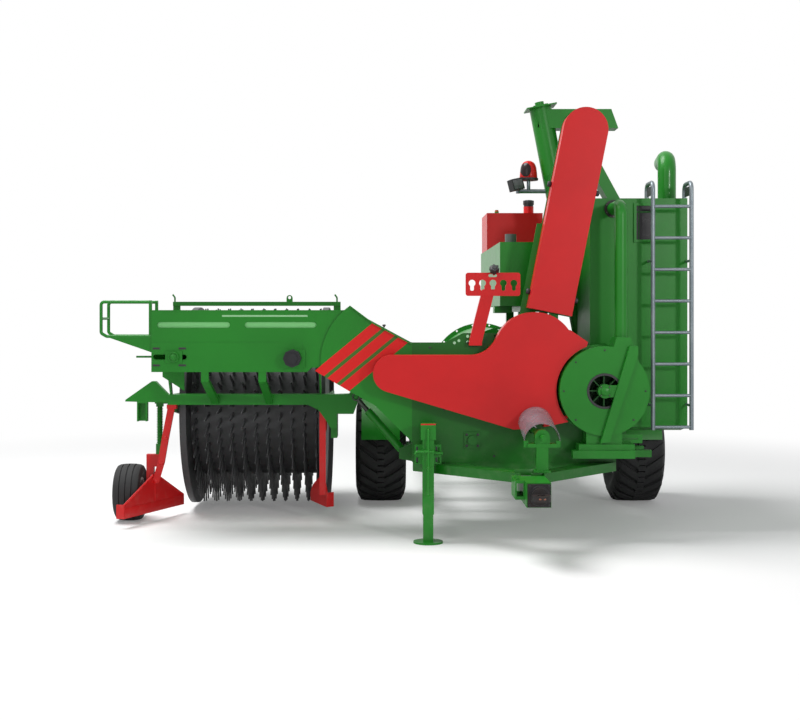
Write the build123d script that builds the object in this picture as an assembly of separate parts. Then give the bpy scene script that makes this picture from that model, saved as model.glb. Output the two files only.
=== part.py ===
from build123d import *
import os
from math import atan2, cos, degrees, hypot, pi, radians, sin, sqrt

# Towed pumpkin harvester, in millimetres, modelled at its working stance.
# X runs across the machine, with the pickup on the low side of X.
# Y runs rearward from the tow eye, and its zero is the wheel axle.
# Z runs up from the ground. The finished pieces are shifted at the end, so that
# the origin is on the ground under the middle of the whole machine.

# Sheet, tube and running sizes
sheet = 6.0
heavy_plate = 12.0
seat_gap = 0.3
bore_gap = 0.05
panel_gap = 12.0

# Road wheels and axle
wheel_middle = 1032.0
tyre_radius = 437.5
tyre_width = 404.0
rim_radius = 200.0
tyre_wall = 22.0
hub_radius = 62.0
spindle_radius = 35.0
axle_size = 90.0

# Main frame
rail_width = 80.0
rail_height = 100.0
rail_left = -760.0
rail_right = 545.0
rail_floor = tyre_radius + axle_size / 2
front_face = -1740.0
frame_rear = 2150.0
drawbar_floor = 458.0
drawbar_nose = -2294.0

# Hitch box, tow eye, power shaft and its shield
hitch_x = -57.0
hitch_z = 430.0
hitch_size = 150.0
hitch_wall = 8.0
hitch_face = -2690.0
eye_bore = 25.5
eye_radius = 58.0
eye_height = 36.0
eye_reach = 102.0
shaft_x = 12.0
shaft_z = 745.0
shaft_radius = 17.5
stub_length = 70.0
stub_groove = 6.0
journal_radius = 20.0
stand_face = -2300.0
bearing_radius = 48.0
shield_radius = 115.0
shield_wall = 3.0
shield_front = stand_face + 8
shield_drop = 24.0

# Parking jack
jack_x = -706.0
jack_y = -1915.0
jack_tube_size = 76.0
jack_wall = 4.0
jack_slide_gap = 0.5
jack_tube_low = 194.0
jack_tube_high = 694.0
foot_radius = 99.0
foot_thick = 12.0
jack_lap = 140.0

# Crusher housing and sieve drum
housing_left = -715.0
housing_right = 425.0
housing_floor = 520.0
housing_top = 1313.0
housing_rear = -900.0
sieve_x = -60.0
sieve_z = 950.0
sieve_radius = 400.0
sieve_wall = 5.0
sieve_front = -860.0
sieve_rear = 2000.0
hood_radius = 450.0
hood_wall = 4.0
sieve_shaft_radius = 30.0

# Pickup pivot and striped chute
pivot_x = -948.0
pivot_z = 1204.0
pivot_radius = 25.0
pivot_lug_face = -1094.0
chute_arc = 486.0
chute_back = -1262.0
overlap_arc = 440.0

# Trough over the pickup
panel_face = front_face + sheet + panel_gap
panel_left = -2597.0
panel_top = 1553.0
panel_floor = 1134.0
trough_back = -1300.0
apron_edge = -1072.0
apron_front = 1500.0
apron_rear = 1530.0
roller_z = 1235.0
roller_left = -2442.0
roller_right = -1626.0
roller_radius = 45.0
belt_wall = 8.0

# Lower beam, tined drum and its carriers
beam_left = -2581.0
beam_right = -1349.0
beam_front = -1180.0
beam_size = 76.0
beam_floor = 870.0
drum_y = -290.0
drum_z = 809.0
drum_radius = 545.0
tine_radius = 768.0
disc_radius = 775.0
disc_rim = 50.0
disc_left = -2517.0
disc_right = -1440.0
row_first = -2422.0
row_pitch = 91.0
row_count = 11
tines_per_row = 30
tine_base = 34.0
tine_thick = 12.0
drum_shaft_radius = 30.0
shoe_middle = 236.0
shoe_gap = 38.0

# Gauge wheel and screw spindle
gauge_x = -2889.0
gauge_y = -1000.0
gauge_radius = 210.0
gauge_width = 200.0
gauge_rim_radius = 105.0
screw_x = -2670.0
screw_radius = 18.0

# Fan and blow pipe
fan_x = 473.0
fan_z = 1017.0
fan_radius = 300.0
fan_face = -1940.0
fan_depth = 190.0
fan_inlet = 107.0
fan_hub = 47.0
pipe_x = 600.0
pipe_y = -1840.0
pipe_radius = 43.0
pipe_wall = 3.0
pipe_foot = 1377.0
pipe_top = 2268.0

# Drive guards, thin dishes open to the rear
guard_face = -1890.0
guard_depth = 120.0
guard_wall = 4.0
high_guard_low = (114.0, 1546.0)
high_guard_high = (357.0, 2775.0)
high_guard_half = 150.0

# Seed tank, ladder and vent
tank_left = 439.0
tank_right = 1121.0
tank_front = -1540.0
tank_step = -960.0
tank_rear = 250.0
tank_notch = 700.0
tank_top = 2342.0
tank_floor = 741.0
tank_rear_floor = 960.0
tank_wall = 5.0
ladder_left = 848.0
ladder_right = 1113.0
ladder_y = -1690.0
ladder_floor = 734.0
ladder_top = 2440.0
rung_pitch = 217.0
rung_count = 8
rail_tube_radius = 15.0
rung_radius = 11.0
vent_x = 1032.0
vent_y = -1290.0
vent_radius = 65.0
vent_top = 2655.0

# Elevator tube, leaning to the pickup side as it rises
auger_y = -840.0
auger_radius = 83.0
auger_foot = (650.0, 622.0)
auger_head = (176.4, 3085.0)
duct_floor = 2926.0
duct_height = 143.0
duct_top = duct_floor + duct_height

# Oil tank with the red water tank on it
oil_left = -191.0
oil_right = 250.0
oil_front = -1540.0
oil_rear = 250.0
oil_floor = 1588.0
oil_top = 2036.0
water_front = -390.0
water_rear = 140.0
water_top = 2331.0

# Board for hose ends, on its post
hose_face = -1800.0
hose_plate = 8.0

# Lift cylinder, between the frame bracket and the pickup arm
lift_foot = (-855.0, 524.0)
lift_eye = (-1207.0, 930.0)
lift_y = -1228.0
lift_pin = 12.5
lift_eye_play = 7.5
barrel_radius = 30.0
rod_radius = 17.5


# Shape helpers
def box(x, y, z):
    middle = [(pair[0] + pair[1]) / 2 for pair in (x, y, z)]
    size = [abs(pair[1] - pair[0]) for pair in (x, y, z)]
    return Pos(*middle) * Box(*size)


def outline(points):
    return make_face(Polyline(*points, close=True))


def spot(u, v, radius):
    return Pos(u, v) * Circle(radius)


def front_cut(sketch, low, high):
    # A sketch in X and Z, from one Y to another.
    return extrude(Plane.XZ.offset(-high) * sketch, high - low)


def side_cut(sketch, low, high):
    # A sketch in Y and Z, from one X to another.
    return extrude(Plane.YZ.offset(low) * sketch, high - low)


def top_cut(sketch, low, high):
    # A sketch in X and Y, from one Z to another.
    return extrude(Plane.XY.offset(low) * sketch, high - low)


def rod(start, end, radius):
    axis = Vector(*end) - Vector(*start)
    return extrude(Plane(origin=start, z_dir=axis) * Circle(radius), axis.length)


def tube(start, end, radius, wall):
    axis = Vector(*end) - Vector(*start)
    ring = Circle(radius) - Circle(radius - wall)
    return extrude(Plane(origin=start, z_dir=axis) * ring, axis.length)


def bent_rod(points, bend, radius):
    # A round bar along straight runs and arcs.
    path = FilletPolyline(*points, radius=bend)
    return sweep(Plane(origin=path @ 0, z_dir=path % 0) * Circle(radius), path)


def turned(points, place, axis):
    # A profile of distance along the axis and radius, turned about it.
    body = revolve(Plane.XZ * outline(points), Axis.X)
    spin = {"x": Rotation(0, 0, 0), "y": Rotation(0, 0, 90), "z": Rotation(0, -90, 0)}[axis]
    return Pos(*place) * spin * body


def dish(shape, low, high, wall):
    # A dish closed at its low end, from a function that draws its outline at a given inset.
    return front_cut(shape(0), low, high) - front_cut(shape(wall), low + wall, high + wall)


def shrunk(points, inset):
    face = outline(points)
    return offset(face, -inset, kind=Kind.INTERSECTION) if inset > 0 else face


def joined(parts):
    return parts[0] + parts[1:]


# Wheels
def tyre_ring(width, radius, bead):
    half = width / 2
    bead_half = 0.38 * width
    side = bead + 0.52 * (radius - bead)
    shoulder = radius - 0.11 * (radius - bead)
    lip = bead + 0.09 * (radius - bead)
    left_bead = Line((-bead_half, bead), (-bead_half, lip))
    left_side = ThreePointArc((-bead_half, lip), (-half, side), (-0.43 * width, shoulder))
    left_edge = Line((-0.43 * width, shoulder), (-0.38 * width, radius - 0.01 * width))
    crown = ThreePointArc((-0.38 * width, radius - 0.01 * width), (0, radius), (0.38 * width, radius - 0.01 * width))
    right_edge = Line((0.38 * width, radius - 0.01 * width), (0.43 * width, shoulder))
    right_side = ThreePointArc((0.43 * width, shoulder), (half, side), (bead_half, lip))
    right_bead = Line((bead_half, lip), (bead_half, bead))
    seat = Line((bead_half, bead), (-bead_half, bead))
    return make_face([left_bead, left_side, left_edge, crown, right_edge, right_side, right_bead, seat])


def tyre(middle, width, radius, bead, wall):
    hollow_part = tyre_ring(width - 2 * wall, radius - wall, bead - 1)
    section = tyre_ring(width, radius, bead) - hollow_part
    return Pos(*middle) * revolve(Plane.XZ * section, Axis.X)


def rim(middle, width, bead, hub, bore, side):
    # The disc and hub face the side given, and the barrel sits under the beads.
    half = 0.38 * width
    lip = bead + 0.05 * bead
    profile = [
        (-half - 8, bead - 10), (-half - 8, lip), (-half - seat_gap, lip), (-half - seat_gap, bead - seat_gap),
        (half + seat_gap, bead - seat_gap), (half + seat_gap, lip), (half + 8, lip), (half + 8, bead - 10),
    ]
    barrel = turned(profile, (0, 0, 0), "x")
    disc_at = side * 0.16 * width
    disc = turned([(disc_at - 5, bore), (disc_at - 5, bead - 8), (disc_at + 5, bead - 8), (disc_at + 5, bore)],
                  (0, 0, 0), "x")
    hub_in = -side * 0.40 * width
    hub_out = side * 0.30 * width
    hub_part = turned([(hub_in, bore), (hub_in, hub), (hub_out, hub), (hub_out, bore)], (0, 0, 0), "x")
    holes = [
        Rotation(60 * step, 0, 0) * rod((disc_at - 9, 0, (hub + bead) / 2), (disc_at + 9, 0, (hub + bead) / 2), 0.13 * bead)
        for step in range(6)
    ]
    body = barrel + disc + hub_part - holes
    return Pos(*middle) * body


def axle():
    beam_end = wheel_middle - 0.40 * tyre_width - 4
    low = tyre_radius - axle_size / 2
    high = tyre_radius + axle_size / 2
    beam = box((-beam_end, beam_end), (-axle_size / 2, axle_size / 2), (low, high))
    reach = wheel_middle + 0.30 * tyre_width - 6
    spindle = rod((-reach, 0, tyre_radius), (reach, 0, tyre_radius), spindle_radius)
    return beam + spindle


# Frame, hitch and power shaft
def frame():
    rail_top = rail_floor + rail_height
    rear = [
        box((middle - rail_width / 2, middle + rail_width / 2), (front_face + 10, frame_rear), (rail_floor, rail_top))
        for middle in (rail_left, rail_right)
    ]
    crosses = [
        box((rail_left, rail_right), (y, y + rail_width), (rail_floor - 60, rail_floor + 12))
        for y in (-700.0, 900.0, frame_rear - rail_width)
    ]
    front_cross = box((rail_left - 44, rail_right + 40), (front_face + 10, front_face + 90), (drawbar_floor, housing_floor - 1))
    half_nose = hitch_size / 2
    arms = []
    for side, start in ((-1, rail_left - 44), (1, rail_right + 40)):
        nose = hitch_x + side * half_nose
        arm = outline([
            (start, front_face + 20), (start, front_face), (nose, drawbar_nose - 60), (nose, drawbar_nose + 120),
            (start - side * 170, front_face + 20),
        ])
        arms.append(top_cut(arm, drawbar_floor, housing_floor - 1))
    lug = front_cut(outline([
        (rail_left - 40, 600), (-895, 560), (-895, 488), (rail_left - 40, 470),
    ]), lift_y + 34, lift_y + 46)
    lug_front = front_cut(outline([
        (rail_left - 40, 600), (-895, 560), (-895, 488), (rail_left - 40, 470),
    ]), lift_y - 46, lift_y - 34)
    pin = rod((lift_foot[0], lift_y - 46, lift_foot[1]), (lift_foot[0], lift_y + 46, lift_foot[1]), lift_pin)
    return joined(rear + crosses + [front_cross] + arms + [lug, lug_front, pin])


def hitch():
    half = hitch_size / 2
    rear = drawbar_nose + 150
    body = box((hitch_x - half, hitch_x + half), (hitch_face, rear), (hitch_z - half, drawbar_floor - seat_gap))
    neck = box((hitch_x - half, hitch_x + half), (hitch_face, drawbar_nose - 60 - seat_gap), (drawbar_floor - 2, hitch_z + half))
    inside = half - hitch_wall
    bore = box((hitch_x - inside, hitch_x + inside), (hitch_face - 1, drawbar_nose - 80), (hitch_z - inside, hitch_z + inside))
    stack = box((hitch_x - half - 60, hitch_x - half), (hitch_face + 90, hitch_face + 330), (hitch_z - 40, hitch_z + 78))
    cut = box((hitch_x - half - 50, hitch_x - half - 10), (hitch_face + 80, hitch_face + 340), (hitch_z - 20, hitch_z + 60))
    return body + neck - bore + (stack - cut)


def tow_eye():
    plate = box((hitch_x - 70, hitch_x + 70), (hitch_face - 20 - seat_gap, hitch_face - seat_gap), (hitch_z - 70, hitch_z + 70))
    boss = rod((hitch_x, hitch_face - 20, hitch_z), (hitch_x, hitch_face - 70, hitch_z), 52)
    eye_y = hitch_face - eye_reach - 20
    ring = rod((hitch_x, eye_y, hitch_z - eye_height / 2), (hitch_x, eye_y, hitch_z + eye_height / 2), eye_radius)
    bore = rod((hitch_x, eye_y, hitch_z - 40), (hitch_x, eye_y, hitch_z + 40), eye_bore)
    return plate + boss + ring - bore


def pto_stand():
    foot_floor = housing_floor - 1 + seat_gap
    post = box((shaft_x - 38, shaft_x + 38), (stand_face, stand_face + 60), (foot_floor, shaft_z - 66))
    foot = box((shaft_x - 60, shaft_x + 52), (stand_face - 20, stand_face + 90), (foot_floor, foot_floor + 12))
    seat = box((shaft_x - 95, shaft_x + 95), (stand_face - 5, stand_face + 65), (shaft_z - 66, shaft_z - 42))
    bearing = rod((shaft_x, stand_face, shaft_z), (shaft_x, stand_face + 60, shaft_z), bearing_radius)
    block = box((shaft_x - bearing_radius, shaft_x + bearing_radius), (stand_face, stand_face + 60), (shaft_z - 43, shaft_z))
    bore = rod((shaft_x, stand_face - 1, shaft_z), (shaft_x, stand_face + 61, shaft_z), journal_radius + bore_gap)
    ears = [
        box((shaft_x + side * 90, shaft_x + side * (shield_radius + 2)), (shield_front, stand_face + 30),
            (shaft_z - 66, shaft_z - shield_drop - seat_gap))
        for side in (-1, 1)
    ]
    return joined([post, foot, seat, bearing, block] + ears) - bore


def pto_shaft():
    # The plain end takes the yoke, up to a locking groove, and the journal behind it runs in the bearing.
    shoulder = stand_face - 4
    stub_end = shoulder - stub_groove
    stub = rod((shaft_x, stub_end - stub_length, shaft_z), (shaft_x, stub_end, shaft_z), shaft_radius)
    groove = rod((shaft_x, stub_end, shaft_z), (shaft_x, shoulder, shaft_z), shaft_radius - 2.5)
    journal = rod((shaft_x, shoulder, shaft_z), (shaft_x, front_face - 4, shaft_z), journal_radius)
    collar = rod((shaft_x, stand_face + 62, shaft_z), (shaft_x, stand_face + 92, shaft_z), 34)
    return stub + groove + journal + collar


def pto_shield():
    arch = Circle(shield_radius) - Circle(shield_radius - shield_wall)
    arch -= Pos(0, -shield_radius) * Rectangle(3 * shield_radius, 2 * shield_radius)
    length = 390.0
    lean = degrees(atan2(80, length))
    cover = extrude(arch, length)
    return Pos(shaft_x, shield_front, shaft_z - shield_drop) * Rotation(-90 + lean, 0, 0) * Rotation(0, 0, 180) * cover


# Jack
def jack_tube():
    half = jack_tube_size / 2
    inner = half - jack_wall
    outer = box((jack_x - half, jack_x + half), (jack_y - half, jack_y + half), (jack_tube_low, jack_tube_high))
    bore = box((jack_x - inner, jack_x + inner), (jack_y - inner, jack_y + inner), (jack_tube_low - 1, jack_tube_high - 8))
    cap = box((jack_x - 50, jack_x + 50), (jack_y - 50, jack_y + 50), (jack_tube_high, jack_tube_high + 108))
    back = jack_y + half
    clamp = box((jack_x - 90, jack_x + 90), (back, back + 14), (housing_floor + 1, 653))
    slots = [
        box((jack_x + side * 72 - 7, jack_x + side * 72 + 7), (back - 1, back + 15), (z, z + 40))
        for side in (-1, 1) for z in (530, 595)
    ]
    block = box((jack_x - 60, jack_x + 60), (back + 14, front_face - seat_gap), (housing_floor + 4, 640))
    pin = rod((jack_x + half, jack_y, 600), (jack_x + half + 60, jack_y, 600), 9)
    return outer + cap + clamp + block + pin - bore - slots


def jack_leg():
    half = jack_tube_size / 2 - jack_wall - jack_slide_gap
    leg = box((jack_x - half, jack_x + half), (jack_y - half, jack_y + half), (foot_thick, jack_tube_low + jack_lap))
    hollow_leg = box((jack_x - half + 4, jack_x + half - 4), (jack_y - half + 4, jack_y + half - 4),
                     (foot_thick + 6, jack_tube_low + jack_lap + 1))
    foot = rod((jack_x, jack_y, 0), (jack_x, jack_y, foot_thick), foot_radius)
    return leg - hollow_leg + foot


# Crusher housing, chute and sieve
def crusher_housing():
    plate = outline([
        (-811, 657), (-811, housing_floor), (rail_right + 40, housing_floor), (rail_right + 40, 900), (200, housing_top),
        (-209, housing_top), (-209, 1402), (-462, 1402), (-585, 1338), (-811, 1338),
    ])
    holes = [spot(x, z, 10) for x, z in ((-520, 1335), (-490, 1350), (-240, 1380), (-240, 1340), (-430, 1380), (-430, 1340))]
    front = front_cut(plate - holes, front_face, front_face + sheet)
    shell = box((housing_left, housing_right), (front_face + sheet, housing_rear), (housing_floor, housing_top))
    room = box((housing_left + sheet, housing_right - sheet), (front_face + 2 * sheet, housing_rear - sheet),
               (housing_floor + sheet, housing_top - sheet))
    mouth = box((housing_left - 5, housing_left + 10), (front_face + 20, chute_back - 10), (680, housing_top - 20))
    outlet = rod((sieve_x, housing_rear - 20, sieve_z), (sieve_x, housing_rear + 20, sieve_z), sieve_radius - 60)
    bearing_at = (-399, 670)
    bearing = box((bearing_at[0] - 55, bearing_at[0] + 55), (front_face - 12, front_face), (bearing_at[1] - 55, bearing_at[1] + 55))
    boss = rod((bearing_at[0], front_face - 34, bearing_at[1]), (bearing_at[0], front_face - 12, bearing_at[1]), 32)
    shaft_hole = rod((shaft_x, front_face - 5, shaft_z), (shaft_x, front_face + 12, shaft_z), 30)
    return front + (shell - room - mouth - outlet) + bearing + boss - shaft_hole


def chute():
    edge = [
        (-1476, 1144), (-1232, 999), (-1065, 908), (-811, 657), (-811, 1329), (-825, 1337), (-1078, 1473), (-1235, 1590),
    ]
    arc = ThreePointArc((-1235, 1590), (pivot_x - chute_arc * cos(radians(22)), pivot_z + chute_arc * sin(radians(22))),
                        (-1435, 1177))
    side = make_face([Polyline(*edge), arc, Line((-1435, 1177), (-1476, 1144))])
    front = front_cut(side, front_face, front_face + sheet)
    back_points = [(-1380, 1087), (-1232, 999), (-1065, 908), (-811, 657), (housing_left - 4, 657), (housing_left - 4, 1313),
                   (-811, 1329), (-1078, 1473), (-1235, 1560)]
    back = front_cut(outline(back_points), chute_back, chute_back + sheet)
    floor = front_cut(outline([
        (-1440, 1123), (-1232, 999), (-1065, 908), (-811, 657), (housing_left - 4, 657), (housing_left - 4, 663),
        (-808, 663), (-1062, 914), (-1229, 1005), (-1440, 1130),
    ]), front_face + sheet, chute_back)
    rim_line = outline([(-1235, 1590), (-1078, 1473), (-825, 1337), (-811, 1329), (-814, 1323), (-828, 1331),
                        (-1081, 1467), (-1239, 1585)])
    flange = front_cut(rim_line, front_face - 22, front_face)
    pivot_lug = front_cut(outline([
        (pivot_x - 60, pivot_z + 60), (pivot_x + 60, pivot_z + 60), (housing_left - 4, pivot_z + 20),
        (housing_left - 4, pivot_z - 260), (pivot_x + 60, pivot_z - 60), (pivot_x - 60, pivot_z - 60),
    ]), pivot_lug_face, pivot_lug_face + heavy_plate)
    tie = box((housing_left - 10, housing_left - 4), (chute_back + sheet, pivot_lug_face + heavy_plate), (pivot_z - 240, pivot_z + 20))
    pin = rod((pivot_x, chute_back, pivot_z), (pivot_x, pivot_lug_face + heavy_plate, pivot_z), pivot_radius)
    return front + back + floor + flange + pivot_lug + tie + pin


def sieve_housing():
    ring = spot(sieve_x, sieve_z, hood_radius + 40) - spot(sieve_x, sieve_z, hood_radius - hood_wall)
    below = Pos(sieve_x, sieve_z - 600) * Rectangle(3000, 1200 - 80)
    bolt_holes = [
        spot(sieve_x + (hood_radius + 24) * cos(radians(step)), sieve_z + (hood_radius + 24) * sin(radians(step)), 9)
        for step in range(20, 170, 20)
    ]
    front_ring = front_cut(ring - below - bolt_holes, housing_rear + seat_gap, housing_rear + 20)
    hood = spot(sieve_x, sieve_z, hood_radius) - spot(sieve_x, sieve_z, hood_radius - hood_wall) - below
    cover = front_cut(hood, housing_rear + 20, sieve_rear + 20)
    rear_ring = front_cut(ring - below - bolt_holes, sieve_rear + 20, sieve_rear + 30)
    rail_top = rail_floor + rail_height
    posts = []
    for y in (-640.0, 560.0, sieve_rear - 40):
        for side, rail in ((-1, rail_left), (1, rail_right)):
            wall_x = sieve_x + side * (hood_radius - hood_wall / 2)
            posts.append(box((rail - 30, rail + 30), (y, y + 60), (rail_top, sieve_z + 20)))
            posts.append(box((min(rail, wall_x), max(rail, wall_x)), (y, y + 60), (sieve_z - 40, sieve_z + 20)))
    inside = rod((sieve_x, housing_rear, sieve_z), (sieve_x, sieve_rear + 40, sieve_z), hood_radius - hood_wall)
    return joined([cover, front_ring, rear_ring] + posts) - inside


def sieve_trough():
    section = spot(sieve_x, sieve_z, hood_radius) - spot(sieve_x, sieve_z, hood_radius - hood_wall)
    above = Pos(sieve_x, sieve_z + 560 - 41) * Rectangle(3000, 1200)
    cradle = front_cut(section - above, housing_rear + seat_gap, sieve_rear + 20)
    bearings = []
    for y in (housing_rear + 6, sieve_rear + 26):
        bar = box((sieve_x - 40, sieve_x + 40), (y, y + 20), (sieve_z - hood_radius + 2, sieve_z))
        bearings.append(bar + rod((sieve_x, y, sieve_z), (sieve_x, y + 20, sieve_z), 60))
    rear_plate = section - above
    ledge = front_cut(rear_plate, sieve_rear + 20, sieve_rear + 46)
    saddles = [
        box((rail_left, rail_right), (y, y + 40), (rail_floor + rail_height - 30, rail_floor + rail_height))
        for y in (-500.0, 700.0)
    ]
    bore = rod((sieve_x, housing_rear, sieve_z), (sieve_x, sieve_rear + 60, sieve_z), sieve_shaft_radius + bore_gap)
    drum_room = rod((sieve_x, housing_rear + 26, sieve_z), (sieve_x, sieve_rear + 20, sieve_z), hood_radius - hood_wall)
    rail_room = [
        box((rail - rail_width / 2 - seat_gap, rail + rail_width / 2 + seat_gap), (-600, 800),
            (rail_floor - 1, rail_floor + rail_height + seat_gap))
        for rail in (rail_left, rail_right)
    ]
    return joined([cradle, ledge] + bearings + saddles) - bore - drum_room - rail_room


def sieve_drum():
    shell = front_cut(spot(sieve_x, sieve_z, sieve_radius - 8) - spot(sieve_x, sieve_z, sieve_radius - 8 - sieve_wall),
                      sieve_front, sieve_rear)
    hoops = [
        front_cut(spot(sieve_x, sieve_z, sieve_radius) - spot(sieve_x, sieve_z, sieve_radius - 9), y, y + 40)
        for y in (sieve_front, -150.0, 560.0, 1270.0, sieve_rear - 40)
    ]
    shaft = rod((sieve_x, housing_rear + 6, sieve_z), (sieve_x, sieve_rear + 60, sieve_z), sieve_shaft_radius)
    spokes = []
    for y in (sieve_front + 10, sieve_rear - 30):
        for turn in (0, 60, 120):
            flat = Pos(sieve_x, sieve_z) * Rotation(0, 0, turn) * Rectangle(2 * sieve_radius - 18, 50)
            spokes.append(front_cut(flat, y, y + 12))
    return joined([shell, shaft] + hoops + spokes)


# Fan and blow pipe
def fan_housing():
    disc = spot(fan_x, fan_z, fan_radius)
    box_part = outline([
        (pipe_x - 66, fan_z), (pipe_x - 66, 1316), (pipe_x - 46, 1377), (pipe_x + 46, 1377), (pipe_x + 66, 1316),
        (fan_x + fan_radius, fan_z),
    ])
    shape = disc + box_part
    room = offset(shape, -guard_wall, kind=Kind.INTERSECTION)
    rear = fan_face + fan_depth
    body = front_cut(shape, fan_face, rear) - front_cut(room, fan_face + guard_wall, rear - guard_wall)
    inlet = front_cut(spot(fan_x, fan_z, fan_inlet), fan_face - 1, fan_face + guard_wall + 1)
    outlet = rod((pipe_x, pipe_y, 1360), (pipe_x, pipe_y, 1390), pipe_radius - pipe_wall)
    shaft_hole = front_cut(spot(fan_x, fan_z, 25 + bore_gap), rear - guard_wall - 1, rear + 1)
    collar = front_cut(spot(fan_x, fan_z, fan_radius + 8) - spot(fan_x, fan_z, fan_radius - 1), rear - 4, rear)
    return body + collar - inlet - outlet - shaft_hole


def fan_rotor():
    shaft = rod((fan_x, fan_face - 26, fan_z), (fan_x, fan_face + fan_depth + 8, fan_z), 25)
    boss = rod((fan_x, fan_face + 40, fan_z), (fan_x, fan_face + fan_depth - 30, fan_z), fan_hub)
    back = front_cut(spot(fan_x, fan_z, fan_radius - 40), fan_face + fan_depth - 36, fan_face + fan_depth - 30)
    blades = []
    for turn in range(0, 360, 45):
        flat = Pos(fan_x, fan_z) * Rotation(0, 0, turn) * Pos(150, 0) * Rectangle(210, 8)
        blades.append(front_cut(flat, fan_face + 30, fan_face + fan_depth - 32))
    return joined([shaft, boss, back] + blades)


def fan_brace():
    # A channel across the inlet, which carries the rotor's front bearing.
    face = fan_face - seat_gap
    channel = outline([(635, 1318), (690, 1318), (690, 1260), (500, 680), (439, 670)])
    body = front_cut(channel, face - 34, face)
    groove = front_cut(outline([(641, 1311), (684, 1311), (684, 1264), (498, 690), (450, 682)]), face - 28, face + 1)
    bearing = rod((fan_x, face - 20, fan_z), (fan_x, face, fan_z), fan_hub)
    arm = box((fan_x, fan_x + 110), (face - 20, face), (fan_z - 40, fan_z + 40))
    bore = rod((fan_x, face - 40, fan_z), (fan_x, face + 1, fan_z), 25 + bore_gap)
    return (body - groove) + bearing + arm - bore


def fan_stand():
    low = box((258, 673), (-1960, -1880), (568, 620))
    high = box((300, 673), (-1940, -1800), (620, 661))
    plate = box((566, 753), (-1800, -1786), (655, 715)) - box((590, 720), (-1801, -1785), (680, 690))
    back = box((340, 640), (-1800, front_face - seat_gap), (575, 661))
    saddle_top = fan_z - sqrt(fan_radius ** 2 - 120 ** 2)
    saddle = box((353, 593), (fan_face + 20, fan_face + 150), (661, saddle_top))
    fan_room = rod((fan_x, fan_face - 50, fan_z), (fan_x, -1700, fan_z), fan_radius + 8 + seat_gap)
    fan_room_front = rod((fan_x, fan_face - 50, fan_z), (fan_x, fan_face + fan_depth - 6, fan_z), fan_radius + seat_gap)
    return joined([low, high, plate, back, saddle]) - fan_room_front - (fan_room & box((0, 900), (-1760, -1700), (600, 900)))


def blow_pipe():
    path = FilletPolyline((pipe_x, pipe_y, pipe_foot + seat_gap), (pipe_x, pipe_y, pipe_top), (pipe_x, tank_front - seat_gap, pipe_top),
                          radius=70)
    ring = Circle(pipe_radius) - Circle(pipe_radius - pipe_wall)
    return sweep(Plane(origin=path @ 0, z_dir=path % 0) * ring, path)


# Drive guards
def low_guard_sketch(inset):
    left_x, left_z, left_r = -951.0, 1130.0, 125.0
    top_x, top_z, top_r = 13.0, 1269.0, 276.0
    body = shrunk([
        (left_x, left_z + left_r), (top_x - 150, left_z + left_r), (top_x, top_z + 100), (250, 1425), (369, 1344),
        (235, 806), (60, 770), (-130, 755), (left_x - 36, left_z - left_r + 5),
    ], inset)
    shape = body + spot(left_x, left_z, left_r - inset) + spot(top_x, top_z, top_r - inset)
    corner = [v for v in shape.vertices() if abs(v.Y + inset - left_z - left_r) < 2 and v.X > left_x + 200]
    shape = fillet(corner, 190 + inset)
    return shape - spot(fan_x, fan_z, fan_radius + 16 + inset)


def drive_guard_low():
    body = dish(low_guard_sketch, guard_face, guard_face + guard_depth, guard_wall)
    shaft_room = box((shaft_x - 60, shaft_x + 60), (guard_face - 1, guard_face + guard_depth + 1), (700, shaft_z + 60))
    stays = [
        rod((x, guard_face + guard_wall, z), (x, front_face - seat_gap, z), 14)
        for x, z in ((-951, 1130), (13, 1269), (-400, 1080), (120, 900))
    ]
    return joined([body - shaft_room] + stays)


def high_guard_axis():
    low = Vector(*high_guard_low)
    axis = (Vector(*high_guard_high) - low).normalized()
    return low, axis, Vector(axis.Y, -axis.X)


def high_guard_sketch(inset):
    low, axis, across = high_guard_axis()
    high = Vector(*high_guard_high)
    half = high_guard_half - inset
    low += axis * inset
    corners = [low - across * half, low + across * half, high + across * half, high - across * half]
    return outline([(c.X, c.Y) for c in corners]) + spot(high.X, high.Y, half)


def drive_guard_high():
    body = dish(high_guard_sketch, guard_face, guard_face + guard_depth, guard_wall)
    low, axis, across = high_guard_axis()
    knobs = []
    for side in (-1, 1):
        for along in (110, 850):
            root = low + axis * along + across * (side * (high_guard_half - 1))
            tip = root + across * (side * 27)
            knobs.append(rod((root.X, guard_face + 60, root.Y), (tip.X, guard_face + 60, tip.Y), 16))
    return joined([body] + knobs)


def guard_back():
    # The sheet behind the upper guard, with the arms that hold it to the elevator tube and the body.
    rear = guard_face + guard_depth
    shape = high_guard_sketch(-6) + outline([(-40, 1420), (-96, 1420), (-60, 1640), (40, 2150), (120, 2150)])
    plate = front_cut(shape, rear + seat_gap, rear + 8)
    foot = box((-90, 60), (rear + seat_gap, rear + 8), (1320, 1500))
    leg = box((-90, -20), (rear + 8, -1500), (1340, 1380))
    down = box((-90, -20), (-1560, -1500), (housing_top + seat_gap, 1380))
    arm = box((250, 310), (rear + 8, auger_y - auger_radius - seat_gap), (2480, 2540))
    clamp = box((230, 330), (auger_y - auger_radius - 16, auger_y - auger_radius - seat_gap), (2440, 2580))
    return joined([plate, foot, leg, down, arm, clamp])


# Seed tank and what stands on it
def tank_plan(inset):
    w = inset
    return outline([
        (tank_left + w, tank_front + w), (tank_right - w, tank_front + w), (tank_right - w, tank_rear - w),
        (tank_notch + w, tank_rear - w), (tank_notch + w, tank_step - w), (tank_left + w, tank_step - w),
    ])


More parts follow.
